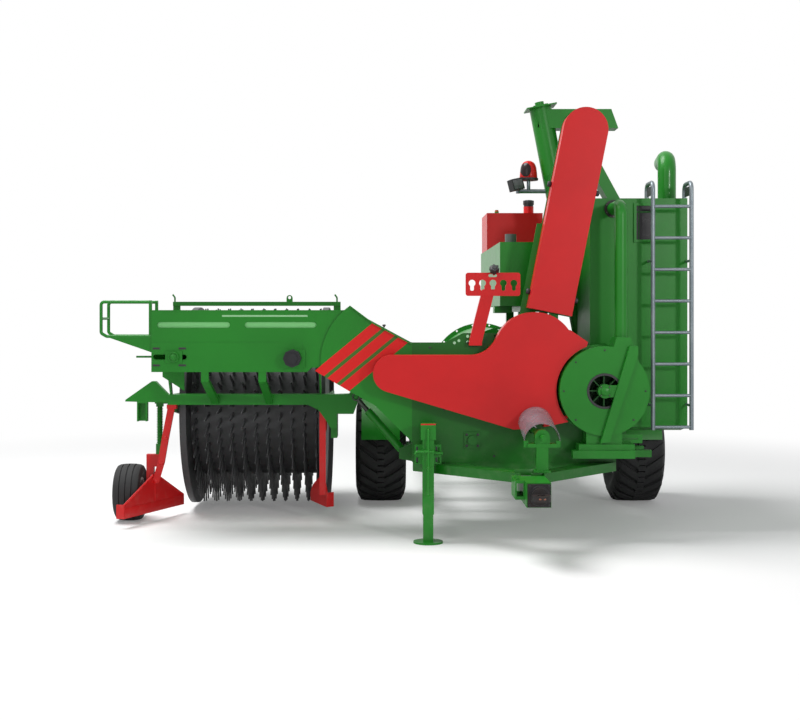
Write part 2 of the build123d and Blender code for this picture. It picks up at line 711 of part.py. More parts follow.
def seed_tank():
    body = top_cut(tank_plan(0), tank_rear_floor, tank_top)
    room = top_cut(tank_plan(tank_wall), tank_rear_floor + tank_wall, tank_top - tank_wall)
    hopper_side = [(tank_front, tank_rear_floor), (tank_front, tank_floor), (tank_front + 200, tank_floor - 40),
                   (tank_step - 120, tank_floor), (tank_step, tank_rear_floor)]
    inner_side = [(tank_front + tank_wall, tank_rear_floor + 6), (tank_front + tank_wall, tank_floor + 6),
                  (tank_front + 200, tank_floor - 34), (tank_step - 123, tank_floor + 6), (tank_step - 7, tank_rear_floor + 6)]
    hopper_x = (rail_right + 45, tank_right)
    hopper = side_cut(outline(hopper_side), hopper_x[0], hopper_x[1])
    hopper_room = side_cut(outline(inner_side), hopper_x[0] + tank_wall, hopper_x[1] - tank_wall)
    window = box((762, 868), (tank_front - 1, tank_front + tank_wall + 1), (2052, 2290))
    hood_hole = box((712, 785), (-925, -755), (tank_top - 10, tank_top + 10))
    pipe_hole = rod((pipe_x, tank_front - 2, pipe_top), (pipe_x, tank_front + 10, pipe_top), pipe_radius - pipe_wall)
    legs = [
        box((rail_right + 41, tank_right - 200), (y, y + 50), (rail_floor + 20, rail_floor + 70)) for y in (-1300.0, -1030.0)
    ]
    struts = [box((690, 740), (y, y + 50), (rail_floor + 60, tank_rear_floor)) for y in (-1300.0, -1030.0)]
    rear_leg = box((tank_notch + 5, tank_notch + 65), (60, 120), (rail_floor + 40, tank_rear_floor))
    rear_arm = box((rail_right + 41, tank_notch + 65), (60, 120), (rail_floor + 20, rail_floor + 80))
    solid = joined([body, hopper] + legs + struts + [rear_leg, rear_arm])
    return solid - room - hopper_room - window - hood_hole - pipe_hole


def tank_window():
    frame_ring = box((744, 886), (tank_front - 14, tank_front - seat_gap), (2034, 2308))
    frame_ring -= box((762, 868), (tank_front - 15, tank_front + 1), (2052, 2290))
    pane = box((762.3, 867.7), (tank_front - 5, tank_front - 1), (2052.3, 2289.7))
    return frame_ring + pane


def vent_pipe():
    path = FilletPolyline((vent_x, vent_y, tank_top + seat_gap), (vent_x, vent_y, vent_top), (vent_x + 30, vent_y + 260, vent_top - 10),
                          radius=95)
    ring = Circle(vent_radius) - Circle(vent_radius - 3)
    collar = top_cut(spot(vent_x, vent_y, vent_radius + 12) - spot(vent_x, vent_y, vent_radius - 1), tank_top + seat_gap, tank_top + 12)
    return sweep(Plane(origin=path @ 0, z_dir=path % 0) * ring, path) + collar


def ladder():
    parts = []
    seats = []
    for x in (ladder_left, ladder_right):
        hook = [(x, ladder_y, ladder_floor), (x, ladder_y, ladder_top), (x, tank_front + 60, ladder_top),
                (x, tank_front + 60, tank_top + seat_gap)]
        parts.append(bent_rod(hook, 50, rail_tube_radius))
        parts.append(rod((x, ladder_y, 900), (x, tank_front - seat_gap, 900), 9))
        parts.append(rod((x, ladder_y, 1900), (x, tank_front - seat_gap, 1900), 9))
        seats.append(rod((x, ladder_y, ladder_floor), (x, ladder_y, ladder_top), rail_tube_radius + seat_gap))
    rungs = []
    for step in range(rung_count):
        z = ladder_floor + 20 + step * rung_pitch
        rungs.append(rod((ladder_left, ladder_y, z), (ladder_right, ladder_y, z), rung_radius) - seats)
    return joined(parts + rungs)


# Elevator
def auger_point(z):
    share = (z - auger_foot[1]) / (auger_head[1] - auger_foot[1])
    return auger_foot[0] + share * (auger_head[0] - auger_foot[0])


def elevator_tube():
    foot = (auger_foot[0], auger_y, auger_foot[1])
    head = (auger_head[0], auger_y, auger_head[1])
    axis = (Vector(*head) - Vector(*foot)).normalized()
    body = tube(foot, head, auger_radius, 4)
    cap_plane = Plane(origin=head, z_dir=axis, x_dir=(0, 1, 0))
    flange = extrude(cap_plane * RectangleRounded(230, 230, 12), 8)
    bearing = extrude(cap_plane.offset(8) * Rectangle(110, 110), 14)
    boss = extrude(cap_plane.offset(22) * Circle(34), 26)
    outlet = box((150, 400), (auger_y - 70, auger_y + 70), (duct_floor + 6, duct_top - 6))
    boot = box((auger_foot[0] - 90, auger_foot[0] + 100), (auger_y - 95, auger_y + 95), (rail_floor + 20, auger_foot[1] + 60))
    boot_room = box((auger_foot[0] - 86, auger_foot[0] + 96), (auger_y - 91, auger_y + 91), (rail_floor + 24, auger_foot[1] + 56))
    boot -= boot_room
    boot -= rod(foot, head, auger_radius)
    lug_low = rail_right + rail_width / 2 + seat_gap
    seat = box((lug_low - 60, auger_foot[0] - 60), (auger_y - 80, auger_y + 80), (rail_floor + rail_height + seat_gap, rail_floor + rail_height + 12))
    clear = box((rail_left, lug_low), (auger_y - 100, auger_y + 100), (400, rail_floor + rail_height + seat_gap))
    return (body - outlet) + flange + bearing + boss + boot + seat - clear


def elevator_duct():
    left = auger_point(duct_floor + 64)
    shape = outline([(left, duct_floor), (left, duct_top), (700, duct_top), (752, duct_floor)])
    low, high = auger_y - 78, auger_y + 78
    room = outline([(left - 1, duct_floor + 4), (left - 1, duct_top - 4), (697, duct_top - 4), (746, duct_floor + 4)])
    body = front_cut(shape, low, high) - front_cut(room, low + 4, high - 4)
    spout = box((372, 466), (low + 8, high - 8), (duct_floor - 1, duct_floor + 5))
    head = (auger_head[0], auger_y, auger_head[1])
    foot = (auger_foot[0], auger_y, auger_foot[1])
    return body - spout - rod(foot, head, auger_radius + seat_gap)


def tank_hood():
    # The sloping chute from the duct down to the tank's roof.
    low, high = auger_y - 88, auger_y + 88
    top = duct_floor - seat_gap
    base = tank_top + seat_gap
    outer = outline([(364, top), (474, top), (792, base), (700, base)])
    inner = outline([(369, top + 1), (468, top + 1), (786, base - 1), (706, base - 1)])
    body = front_cut(outer, low, high) - front_cut(inner, low + 4, high - 4)
    flange = box((688, 804), (low - 12, high + 12), (base, base + 5)) - box((705, 787), (low + 4, high - 4), (base - 1, base + 6))
    return body + flange


# Tanks on the body
def shell_box(x, y, z, wall):
    room = box((x[0] + wall, x[1] - wall), (y[0] + wall, y[1] - wall), (z[0] + wall, z[1] - wall))
    return box(x, y, z) - room


def oil_tank():
    body = shell_box((oil_left, oil_right), (oil_front, oil_rear), (oil_floor, oil_top), tank_wall)
    neck = rod((-105, -1420, oil_top), (-105, -1420, oil_top + 62), 40)
    filter_box = box((-212, -86), (-1330, -1200), (oil_floor - 50, oil_floor))
    return body + neck + filter_box


def water_tank():
    base = oil_top + seat_gap
    body = shell_box((oil_left, oil_right), (water_front, water_rear), (base, water_top), tank_wall)
    neck = rod((148, -300, water_top), (148, -300, water_top + 56), 40)
    cap_part = rod((148, -300, water_top + 56), (148, -300, water_top + 104), 36)
    nub = rod((-110, -340, water_top), (-110, -340, water_top + 24), 15)
    return body + neck + cap_part + nub


def tank_stand():
    parts = []
    for x in (40.0, 200.0):
        parts.append(box((x - 30, x + 30), (-1440, -1380), (housing_top + seat_gap, oil_floor - seat_gap)))
        parts.append(box((x - 30, x + 30), (-860, -800), (1200, oil_floor - seat_gap)))
        parts.append(box((x - 30, x + 30), (100, 160), (1200, oil_floor - seat_gap)))
    parts.append(box((10, 230), (-1440, 160), (oil_floor - 40, oil_floor - seat_gap)))
    hood = rod((sieve_x, housing_rear + 19, sieve_z), (sieve_x, sieve_rear, sieve_z), hood_radius + seat_gap)
    return joined(parts) - hood


def hose_holder():
    face = hose_face
    plate = Pos(-262, 1734) * RectangleRounded(372, 158, 18)
    cuts = []
    for step in range(5):
        x = -404 + 71 * step
        cuts.append(spot(x, 1742, 23))
        cuts.append(Pos(x, 1718) * RectangleRounded(26, 56, 12))
    oval = Pos(-264, 1793) * SlotOverall(58, 20)
    board = front_cut(plate - cuts - oval, face, face + hose_plate)
    knob = rod((-256, face - 40, 1840), (-256, face, 1800), 9) + rod((-256, face - 44, 1844), (-256, face - 24, 1824), 25)
    return board + knob


def hose_post():
    face = hose_face + hose_plate
    post = front_cut(outline([(-333, 1700), (-247, 1700), (-336, 1340), (-336, 1318), (-424, 1318), (-424, 1340)]), face, face + sheet)
    side = front_cut(outline([(-333, 1700), (-325, 1700), (-416, 1340), (-424, 1340)]), face + sheet, face + 52)
    foot = box((-424, -336), (face, front_face - seat_gap), (housing_top + 5, housing_top + 16))
    return post + side + foot


def lamp_bracket():
    z = 2459.0
    left_edge = auger_point(z) - auger_radius
    pipe = rod((10, auger_y, z), (left_edge + 2, auger_y, z), 16)
    post = rod((87, auger_y, z), (87, auger_y, 2541 - seat_gap), 14)
    post_low = rod((10, auger_y, z - 16), (10, auger_y, z + 22), 18)
    clear = rod((auger_foot[0], auger_y, auger_foot[1]), (auger_head[0], auger_y, auger_head[1]), auger_radius + seat_gap)
    return pipe + post + post_low - clear


def beacon():
    base = 2541.0
    return turned([(0, 0), (0, 71), (16, 71), (16, 66), (100, 58), (132, 40), (150, 0)], (87, auger_y, base), "z")


def work_lamp():
    body = Pos(-16, auger_y - 84, 2500) * Rotation(0, -14, 24) * (Box(96, 70, 88) - Pos(0, -38, 0) * Box(80, 20, 72))
    stem = box((2, 18), (auger_y - 84, auger_y - 18 - seat_gap), (2462, 2478))
    return body + stem


def mudguard(middle):
    inner = tyre_radius + 40
    arc_part = spot(0, tyre_radius, inner + 4) - spot(0, tyre_radius, inner)
    keep = outline([(-900, 640), (0, tyre_radius), (200, 1200), (-900, 1200)])
    low, high = middle - tyre_width / 2 + 50, middle + tyre_width / 2 - 52
    shell = side_cut(arc_part & keep, low, high)
    rail = rail_left if middle < 0 else rail_right
    rail_edge = rail - 40 if middle < 0 else rail + 40
    near = high if middle < 0 else low
    stay_z = tyre_radius + inner * sin(radians(60))
    stay_y = -inner * cos(radians(60))
    stay = box((min(rail_edge, near) - 5, max(rail_edge, near) + 5), (stay_y - 25, stay_y + 25), (stay_z - 30, stay_z + 30))
    ring = rod((middle - 400, 0, tyre_radius), (middle + 400, 0, tyre_radius), inner + 4)
    outer_stay = (stay - ring)
    leg_x = rail
    leg = box((leg_x - 30, leg_x + 30), (stay_y - 25, stay_y + 25), (rail_floor + rail_height + seat_gap, stay_z + 30))
    return shell, outer_stay, leg


def mudguard_piece(middle):
    shell, stay, leg = mudguard(middle)
    rail = rail_left if middle < 0 else rail_right
    inner = tyre_radius + 40
    stay_y = -inner * cos(radians(60))
    top_z = tyre_radius + inner * sin(radians(60))
    reach = middle + (tyre_width / 2 - 60) * (1 if middle < 0 else -1)
    bar = box((min(rail, reach), max(rail, reach)), (stay_y - 20, stay_y + 20), (top_z + 2, top_z + 42))
    return shell + bar + leg


# Pickup
def trough():
    top = panel_top
    front_points = [
        (panel_left, panel_floor), (panel_left, top), (pivot_x - sqrt(overlap_arc ** 2 - (top - pivot_z) ** 2), top),
    ]
    low_corner = (pivot_x - sqrt(overlap_arc ** 2 - (1165 - pivot_z) ** 2), 1165)
    arc_mid = (pivot_x - overlap_arc * cos(radians(20)), pivot_z + overlap_arc * sin(radians(20)))
    arc = ThreePointArc(front_points[-1], arc_mid, low_corner)
    rest = Polyline(low_corner, (-1500, 1165), (-1530, panel_floor), (panel_left, panel_floor))
    face = make_face([Polyline(*front_points), arc, rest])
    slots = [
        Pos(-2120 + 300, 1519) * SlotOverall(590, 12),
        Pos(-2308, 1457) * SlotOverall(500, 40),
        Pos(-1712, 1457) * SlotOverall(490, 40),
        Pos(-2470, 1237) * SlotOverall(230, 34),
    ]
    front = front_cut(face - slots, panel_face, panel_face + sheet)
    flange = box((panel_left, -1250), (panel_face - 2, panel_face + 34), (top, top + 6))
    fold = box((panel_left, -1560), (panel_face - 3, panel_face), (panel_floor, 1337))
    fold -= box((-2590, -2350), (panel_face - 4, panel_face + 1), (1215, 1260))
    back = front_cut(face, trough_back, trough_back + sheet)
    back -= box((-2470, -1420), (trough_back - 1, trough_back + sheet + 1), (apron_front, top + 1))
    end = box((panel_left, panel_left + sheet), (panel_face, trough_back + sheet), (panel_floor, 1500))
    end_low = front_cut(outline([(panel_left, 1134), (panel_left, 1080), (-2440, 980), (-2440, 1134)]), trough_back, trough_back + sheet)
    floor = box((panel_left, -1530), (panel_face, trough_back), (panel_floor, panel_floor + sheet))
    lip = front_cut(outline([(-1562, 1205), (-1558, 1212), (-1412, 1190), (-1412, 1183)]), panel_face + sheet, trough_back)
    rail = box((-2520, -1316), (trough_back - 10, trough_back + 20), (1590, 1620))
    posts = [box((x, x + 50), (trough_back, trough_back + 20), (1500, 1592)) for x in (-2520, -1366)]
    hooks = [
        bent_rod([(x, trough_back + 5, 1618), (x, trough_back + 5, 1650), (x + side * 16, trough_back + 5, 1672)], 14, 6)
        for x, side in ((-2508, -1), (-1342, -1))
    ]
    eye = front_cut(Pos(-1683, 1646) * SlotOverall(44, 43.9) + outline([(-1705, 1618), (-1661, 1618), (-1661, 1646), (-1705, 1646)])
                    - spot(-1683, 1650, 11), trough_back, trough_back + 10)
    apron = outline([(trough_back, apron_front - sheet), (trough_back, apron_front), (apron_edge, apron_rear),
                     (apron_edge, apron_rear - sheet)])
    slide = side_cut(apron, -2500, -1470)
    straps = []
    for x in (-2231, -1837):
        side = outline([(panel_face, panel_floor + 4), (panel_face, 1066), (beam_front, 876), (beam_front, 916),
                        (panel_face + 34, 1085), (panel_face + 10, panel_floor + 4)])
        straps.append(side_cut(side, x - 26, x + 26))
    columns = []
    for x in (-2560, -1466):
        side = outline([(beam_front + 10, beam_floor + beam_size + seat_gap), (trough_back, panel_floor), (trough_back, 1300),
                        (trough_back + sheet, 1300), (beam_front + 70, beam_floor + beam_size + seat_gap)])
        columns.append(side_cut(side, x - 6, x + 6))
    parts = [front, fold, back, end, floor, flange, lip, rail, end_low, slide, eye] + posts + hooks + straps + columns
    trim = box((-3000, -900), (beam_front, -1000), (800, beam_floor + beam_size + seat_gap))
    return joined(parts) - trim


def conveyor():
    # A slatted belt round two rollers, as one loop.
    def loop(radius):
        return (spot(roller_left, roller_z, radius) + spot(roller_right, roller_z, radius)
                + Pos((roller_left + roller_right) / 2, roller_z) * Rectangle(roller_right - roller_left, 2 * radius))
    low, high = panel_face + 14, trough_back - 10
    belt = front_cut(loop(roller_radius + belt_wall) - loop(roller_radius), low, high)
    slats = []
    slat_top = roller_z + roller_radius + belt_wall
    for step in range(8):
        x = roller_left + 40 + step * 105
        slats.append(box((x, x + 10), (low + 5, high - 5), (slat_top - 1, slat_top + 28)))
    return joined([belt] + slats)


def conveyor_rollers():
    parts = []
    for x in (roller_left, roller_right):
        parts.append(rod((x, panel_face + 14, roller_z), (x, trough_back - 10, roller_z), roller_radius - seat_gap))
        parts.append(rod((x, panel_face + sheet + seat_gap, roller_z), (x, trough_back - seat_gap, roller_z), 20))
    return joined(parts)


def conveyor_motor():
    face = panel_face - 3 - seat_gap
    plate = box((-1692, -1542), (face - 10, face), (1162, 1290))
    prism = Plane.XZ.offset(-(face - 10)) * Pos(-1626, 1230) * RegularPolygon(62, 8)
    nut = Plane.XZ.offset(-(face - 92)) * Pos(-1626, 1230) * RegularPolygon(40, 6)
    tension = box((-2500, -2384), (face - 8, face), (1196, 1278))
    ring = rod((roller_left, face - 22, 1237), (roller_left, face - 8, 1237), 34)
    rods = [rod((-2590, face - 5, z), (-2360, face - 5, z), 5) for z in (1180, 1296)]
    drive = plate + extrude(prism, 82) + extrude(nut, 12)
    return joined([drive, tension, ring])


def pickup_beam():
    top = beam_floor + beam_size
    back = beam_front + 80
    beam = box((beam_left, beam_right), (beam_front, back), (beam_floor, top))
    hinge = box((beam_right, -1227), (beam_front, back), (803, top))
    arm = front_cut(outline([
        (-1353, top), (-1260, top + 4), (pivot_x - 45, pivot_z + 50), (pivot_x + 40, pivot_z + 34), (pivot_x + 48, pivot_z - 40),
        (-1190, 900), (-1227, 803), (-1300, 803),
    ]) + spot(pivot_x, pivot_z, 60), beam_front, back)
    bore = rod((pivot_x, beam_front - 1, pivot_z), (pivot_x, back + 1, pivot_z), pivot_radius + bore_gap)
    eye_pin = rod((lift_eye[0], lift_y - 21, lift_eye[1]), (lift_eye[0], beam_front + 1, lift_eye[1]), lift_pin)
    gusset = outline([(-1349, beam_floor), (-1560, beam_floor), (-1480, 830), (-1420, 745), (-1395, 700), (-1349, 700)])
    gusset_part = front_cut(gusset, beam_front + 8, beam_front + 20)
    channel = box((-2807, -2734), (beam_front + 10, back - 10), (748, 891))
    channel -= box((-2797, -2744), (beam_front, back - 20), (740, 880))
    roof_plate = front_cut(outline([(-2892, 893), (-2892, 905), (-2700, 1040), (-2672, 1040), (-2543, 905), (beam_left - 2, beam_floor + 20), (beam_left - 2, 885)]),
                           beam_front + 10, back - 10)
    bracket = box((screw_x - 20, disc_left - 22 - heavy_plate - 5), (beam_front + 80, gauge_y - 24 - seat_gap), (872, 902))
    post = box((-1395, -1349), (back, back + 190), (620, 800))
    motor_arm = box((-1395, -1349), (beam_front + 20, back + 20), (780, beam_floor + 4))
    return joined([beam, hinge, arm, eye_pin, gusset_part, channel, roof_plate, bracket, post, motor_arm]) - bore


def drum_end_plates():
    top = beam_floor + beam_size
    back = beam_front + 80 + seat_gap
    shape = outline([(back, top), (drum_y - 60, drum_z + 110), (drum_y + 70, drum_z + 90), (drum_y + 90, drum_z - 70),
                     (drum_y - 60, drum_z - 100), (back, beam_floor - 60)]) + spot(drum_y, drum_z, 110)
    light = spot((back + drum_y) / 2 - 120, drum_z + 70, 60) + spot((back + drum_y) / 2 + 90, drum_z + 40, 60)
    bore = spot(drum_y, drum_z, drum_shaft_radius + bore_gap)
    plates = []
    for face, side in ((disc_left - 22 - heavy_plate, -1), (disc_right + 22, 1)):
        body = side_cut(shape - light - bore, face, face + heavy_plate)
        tab = box((face, face + heavy_plate), (back, back + 40), (beam_floor - 60, top))
        plates.append(body + tab)
    return joined(plates)


def pickup_drum():
    inner_left = disc_left + disc_rim
    inner_right = disc_right - disc_rim
    body = rod((inner_left - 10, drum_y, drum_z), (inner_right + 10, drum_y, drum_z), drum_radius)
    body -= rod((inner_left + 6, drum_y, drum_z), (inner_right - 6, drum_y, drum_z), drum_radius - 8)
    discs = []
    for low, web in ((disc_left, disc_left + disc_rim - 14), (disc_right - disc_rim, disc_right - disc_rim)):
        rim_part = tube((low, drum_y, drum_z), (low + disc_rim, drum_y, drum_z), disc_radius, 10)
        plate = tube((web, drum_y, drum_z), (web + 14, drum_y, drum_z), disc_radius - 5, disc_radius - 5 - drum_shaft_radius + 2)
        discs.append(rim_part)
        discs.append(plate)
    shaft = rod((disc_left - 50, drum_y, drum_z), (disc_right + 50, drum_y, drum_z), drum_shaft_radius)
    tines = []
    for row in range(row_count):
        x = row_first + row * row_pitch
        shift = 0.5 * (row % 2)
        for step in range(tines_per_row):
            turn = 2 * pi * (step + shift) / tines_per_row
            tines.append(tine(x, turn))
    return joined([body, shaft] + discs + tines)


def tine(x, turn):
    # A flat pointed tooth that leans back a little.
    root = drum_radius - 4
    half = tine_base / 2
    lean = 10.0
    tooth = outline([(-half, root), (half, root), (lean + 6, tine_radius - 40), (lean, tine_radius - 1), (lean - 6, tine_radius - 40)])
    flat = extrude(Plane.YZ.offset(-tine_thick / 2) * tooth, tine_thick)
    return Pos(x, drum_y, drum_z) * Rotation(degrees(turn), 0, 0) * flat


def shoe_left():
    front_end, rear_end = (-2855.0, -1390.0), (-2541.0, -690.0)
    run = Vector(rear_end[0] - front_end[0], rear_end[1] - front_end[1])
    length = run.length
    heading = degrees(atan2(run.Y, run.X))
    floor = 71.0
    face = outline([(0, floor), (0, 172), (0.47 * length, 348), (0.53 * length, 348), (length, 151), (length, floor)])
    wall = extrude(Plane.XZ * face, -8)
    keel = box((0, length), (0, 18), (floor, floor + 12))
    ribs = [box((share * length - 4, share * length + 4), (4, 26), (floor + 4, 150)) for share in (0.12, 0.58, 0.78)]
    plate = Pos(front_end[0], front_end[1], 0) * Rotation(0, 0, heading) * joined([wall, keel] + ribs)
    nose = top_cut(outline([(front_end[0] + 6, front_end[1] + 10), (front_end[0] + 1, front_end[1] - 2),
                            (front_end[0] - 57, front_end[1] + 10), (front_end[0] - 54, front_end[1] + 18),
                            (front_end[0] - 4, front_end[1] + 10)]), floor, 172)
    middle = (front_end[0] + run.X * 0.5, front_end[1] + run.Y * 0.5)
    arm_points = [(-2556, beam_front + 40, beam_floor - seat_gap), (-2606, beam_front + 50, 620),
                  (-2640, beam_front + 72, 440), (middle[0] + 8, middle[1] - 10, 300)]
    arm = []
    for start, end in zip(arm_points, arm_points[1:]):
        axis = Vector(*end) - Vector(*start)
        plane = Plane(origin=start, z_dir=axis, x_dir=(1, 0, 0.01))
        arm.append(extrude(plane * Rectangle(50, 30), axis.length))
        arm.append(Pos(*end) * Sphere(24))
    top = box((-2590, -2520), (beam_front + 10, beam_front + 70), (beam_floor - 30, beam_floor - seat_gap))
    trim = box((-2800, -2300), (beam_front - 20, beam_front + 100), (beam_floor - seat_gap, beam_floor + 60))
    return joined([plate, nose, top] + arm) - trim


def shoe_right():
    arm_x = (-1476.0, -1430.0)
    arm = box(arm_x, (beam_front + 22, beam_front + 62), (300, beam_floor - seat_gap))
    drum_front = drum_y - sqrt(disc_radius ** 2 - (drum_z - shoe_middle) ** 2)
    front_end, rear_end = (-1416.0, -1165.0), (-1553.0, drum_front - shoe_gap)
    run = Vector(rear_end[0] - front_end[0], rear_end[1] - front_end[1])
    length = run.length
    heading = degrees(atan2(run.Y, run.X))
    face = outline([(0, 122), (0, 232), (0.18 * length, 350), (0.30 * length, 350), (0.86 * length, 250), (length, 190), (length, 126)])
    wall = extrude(Plane.XZ * face, -8)
    ribs = [box((share * length - 4, share * length + 4), (-34, 2), (130, 220)) for share in (0.45, 0.75)]
    plate = Pos(front_end[0], front_end[1], 0) * Rotation(0, 0, heading) * joined([wall] + ribs)
    nose = top_cut(outline([front_end, (front_end[0] + 44, front_end[1] + 36), (front_end[0] + 38, front_end[1] + 42),
                            (front_end[0] - 6, front_end[1] + 8)]), 122, 226)
    link = box((arm_x[0], arm_x[1]), (beam_front + 22, beam_front + 70), (210, 310))
    strut_x = -1430.0
    strut = rod((strut_x, beam_front + 90, beam_floor - 40), (strut_x, beam_front + 90, 690), 6)
    strut_low = rod((strut_x, beam_front + 90, 690), (-1452, beam_front + 50, 590), 6)
    return joined([arm, plate, nose, link, strut_low, strut, Pos(strut_x, beam_front + 90, 690) * Sphere(6)])


def gauge_leg():
    nut = box((screw_x - 24, screw_x + 24), (gauge_y - 24, gauge_y + 24), (844, 962))
    thread = rod((screw_x, gauge_y, 569), (screw_x, gauge_y, 846), screw_radius)
    sleeve = box((screw_x - 25, screw_x + 25), (gauge_y - 25, gauge_y + 25), (490, 569))
    bracket = box((-2766, screw_x + 25), (gauge_y - 25, gauge_y + 25), (340, 492))
    bracket -= box((-2712, screw_x + 30), (gauge_y - 30, gauge_y + 30), (330, 400))
    drop = box((-2766, -2736), (gauge_y - 25, gauge_y + 25), (180, 360))
    stub_end = gauge_x - 0.30 * gauge_width + 6
    spindle = rod((-2736, gauge_y, gauge_radius), (stub_end, gauge_y, gauge_radius), 15)
    return joined([nut, thread, sleeve, bracket, drop, spindle])


def side_basket():
    parts = []
    for y in (panel_face + 20, panel_face + 250):
        points = [(panel_left - seat_gap, y, 1615), (-2946, y, 1615), (-2946, y, 1400), (-2908, y, 1378), (panel_left - seat_gap, y, 1378)]
        parts.append(bent_rod(points, 22, 11))
    top_bar = rod((-2946, panel_face + 20, 1500), (-2946, panel_face + 250, 1500), 9)
    wedge = front_cut(outline([(-2915, 1378), (panel_left - seat_gap, 1384), (panel_left - seat_gap, 1268)]), panel_face + 12, panel_face + 20)
    wedge_back = front_cut(outline([(-2915, 1378), (panel_left - seat_gap, 1384), (panel_left - seat_gap, 1268)]), panel_face + 250, panel_face + 258)
    deck = box((-2880, panel_left - seat_gap), (panel_face + 14, panel_face + 256), (1366, 1372))
    post = box((panel_left - 20 - seat_gap, panel_left - seat_gap), (panel_face + 12, panel_face + 262), (1360, 1500))
    upper = box((panel_left - 20 - seat_gap, panel_left - seat_gap), (panel_face + 12, panel_face + 30), (1490, 1626))
    upper_back = box((panel_left - 20 - seat_gap, panel_left - seat_gap), (panel_face + 242, panel_face + 262), (1490, 1626))
    feeler = rod((-2712, panel_face + 60, 1237), (panel_left - seat_gap, panel_face + 60, 1237), 7)
    return joined(parts + [top_bar, wedge, wedge_back, deck, post, upper, upper_back, feeler])


# Lift cylinder
def lift_direction():
    run = Vector(lift_eye[0] - lift_foot[0], 0, lift_eye[1] - lift_foot[1])
    return run.normalized(), run.length


def lift_point(along):
    direction, length = lift_direction()
    return (lift_foot[0] + direction.X * along, lift_y, lift_foot[1] + direction.Z * along)


def lift_barrel():
    body = tube(lift_point(36), lift_point(400), barrel_radius, 5)
    cap_part = rod(lift_point(36), lift_point(52), barrel_radius)
    head = tube(lift_point(385), lift_point(410), barrel_radius, barrel_radius - rod_radius - bore_gap)
    eye = rod((lift_foot[0], lift_y - 20, lift_foot[1]), (lift_foot[0], lift_y + 20, lift_foot[1]), 30)
    neck = rod(lift_point(10), lift_point(40), 18)
    bore = rod((lift_foot[0], lift_y - 21, lift_foot[1]), (lift_foot[0], lift_y + 21, lift_foot[1]), lift_pin + bore_gap)
    return body + cap_part + head + eye + neck - bore


def lift_rod():
    direction, length = lift_direction()
    body = rod(lift_point(240), lift_point(length - 18), rod_radius)
    piston = rod(lift_point(230), lift_point(256), barrel_radius - 5 - bore_gap)
    eye = rod((lift_eye[0], lift_y - 20, lift_eye[1]), (lift_eye[0], lift_y + 20, lift_eye[1]), 28)
    bore = rod((lift_eye[0], lift_y - 21, lift_eye[1]), (lift_eye[0], lift_y + 21, lift_eye[1]), lift_pin + lift_eye_play)
    return body + piston + eye - bore


# The whole machine
left_wheel = (-wheel_middle, 0, tyre_radius)
right_wheel = (wheel_middle, 0, tyre_radius)
gauge_wheel = (gauge_x, gauge_y, gauge_radius)
pieces = {
    "frame": frame(),
    "axle": axle(),
    "hitch": hitch(),
    "tow_eye": tow_eye(),
    "pto_stand": pto_stand(),
    "pto_shaft": pto_shaft(),
    "pto_shield": pto_shield(),
    "jack_tube": jack_tube(),
    "jack_leg": jack_leg(),
    "crusher_housing": crusher_housing(),
    "chute": chute(),
    "sieve_housing": sieve_housing(),
    "sieve_trough": sieve_trough(),
    "sieve_drum": sieve_drum(),
    "fan_housing": fan_housing(),
    "fan_rotor": fan_rotor(),
    "fan_brace": fan_brace(),
    "fan_stand": fan_stand(),
    "blow_pipe": blow_pipe(),
    "drive_guard_low": drive_guard_low(),
    "drive_guard_high": drive_guard_high(),
    "guard_back": guard_back(),
    "seed_tank": seed_tank(),
    "tank_window": tank_window(),
    "vent_pipe": vent_pipe(),
    "ladder": ladder(),
    "elevator_tube": elevator_tube(),
    "elevator_duct": elevator_duct(),
    "tank_hood": tank_hood(),
    "oil_tank": oil_tank(),
    "water_tank": water_tank(),
    "tank_stand": tank_stand(),
    "hose_holder": hose_holder(),
    "hose_post": hose_post(),
    "lamp_bracket": lamp_bracket(),
    "beacon": beacon(),
    "work_lamp": work_lamp(),
    "mudguard_left": mudguard_piece(-wheel_middle),
    "mudguard_right": mudguard_piece(wheel_middle),
    "tyre_left": tyre(left_wheel, tyre_width, tyre_radius, rim_radius, tyre_wall),
    "tyre_right": tyre(right_wheel, tyre_width, tyre_radius, rim_radius, tyre_wall),
    "rim_left": rim(left_wheel, tyre_width, rim_radius, hub_radius, spindle_radius + bore_gap, -1),
    "rim_right": rim(right_wheel, tyre_width, rim_radius, hub_radius, spindle_radius + bore_gap, 1),
    "gauge_tyre": tyre(gauge_wheel, gauge_width, gauge_radius, gauge_rim_radius, 14),
    "gauge_rim": rim(gauge_wheel, gauge_width, gauge_rim_radius, 34, 15 + bore_gap, -1),
    "gauge_leg": gauge_leg(),
    "trough": trough(),
    "conveyor": conveyor(),
    "conveyor_rollers": conveyor_rollers(),
    "conveyor_motor": conveyor_motor(),
    "pickup_beam": pickup_beam(),
    "drum_end_plates": drum_end_plates(),
    "pickup_drum": pickup_drum(),
    "shoe_left": shoe_left(),
    "shoe_right": shoe_right(),
    "side_basket": side_basket(),
    "lift_barrel": lift_barrel(),
    "lift_rod": lift_rod(),
}

# The origin, under the middle of the whole machine
boxes = [piece.bounding_box() for piece in pieces.values()]
middle_x = (min(b.min.X for b in boxes) + max(b.max.X for b in boxes)) / 2
middle_y = (min(b.min.Y for b in boxes) + max(b.max.Y for b in boxes)) / 2
os.makedirs("parts", exist_ok=True)
for name, piece in pieces.items():
    export_step(Pos(-middle_x, -middle_y, 0) * piece, f"parts/{name}.step")
print("origin shift", round(-middle_x, 3), round(-middle_y, 3))
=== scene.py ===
import bpy
from math import atan2, cos, pi, radians, sin, sqrt
from mathutils import Matrix, Vector


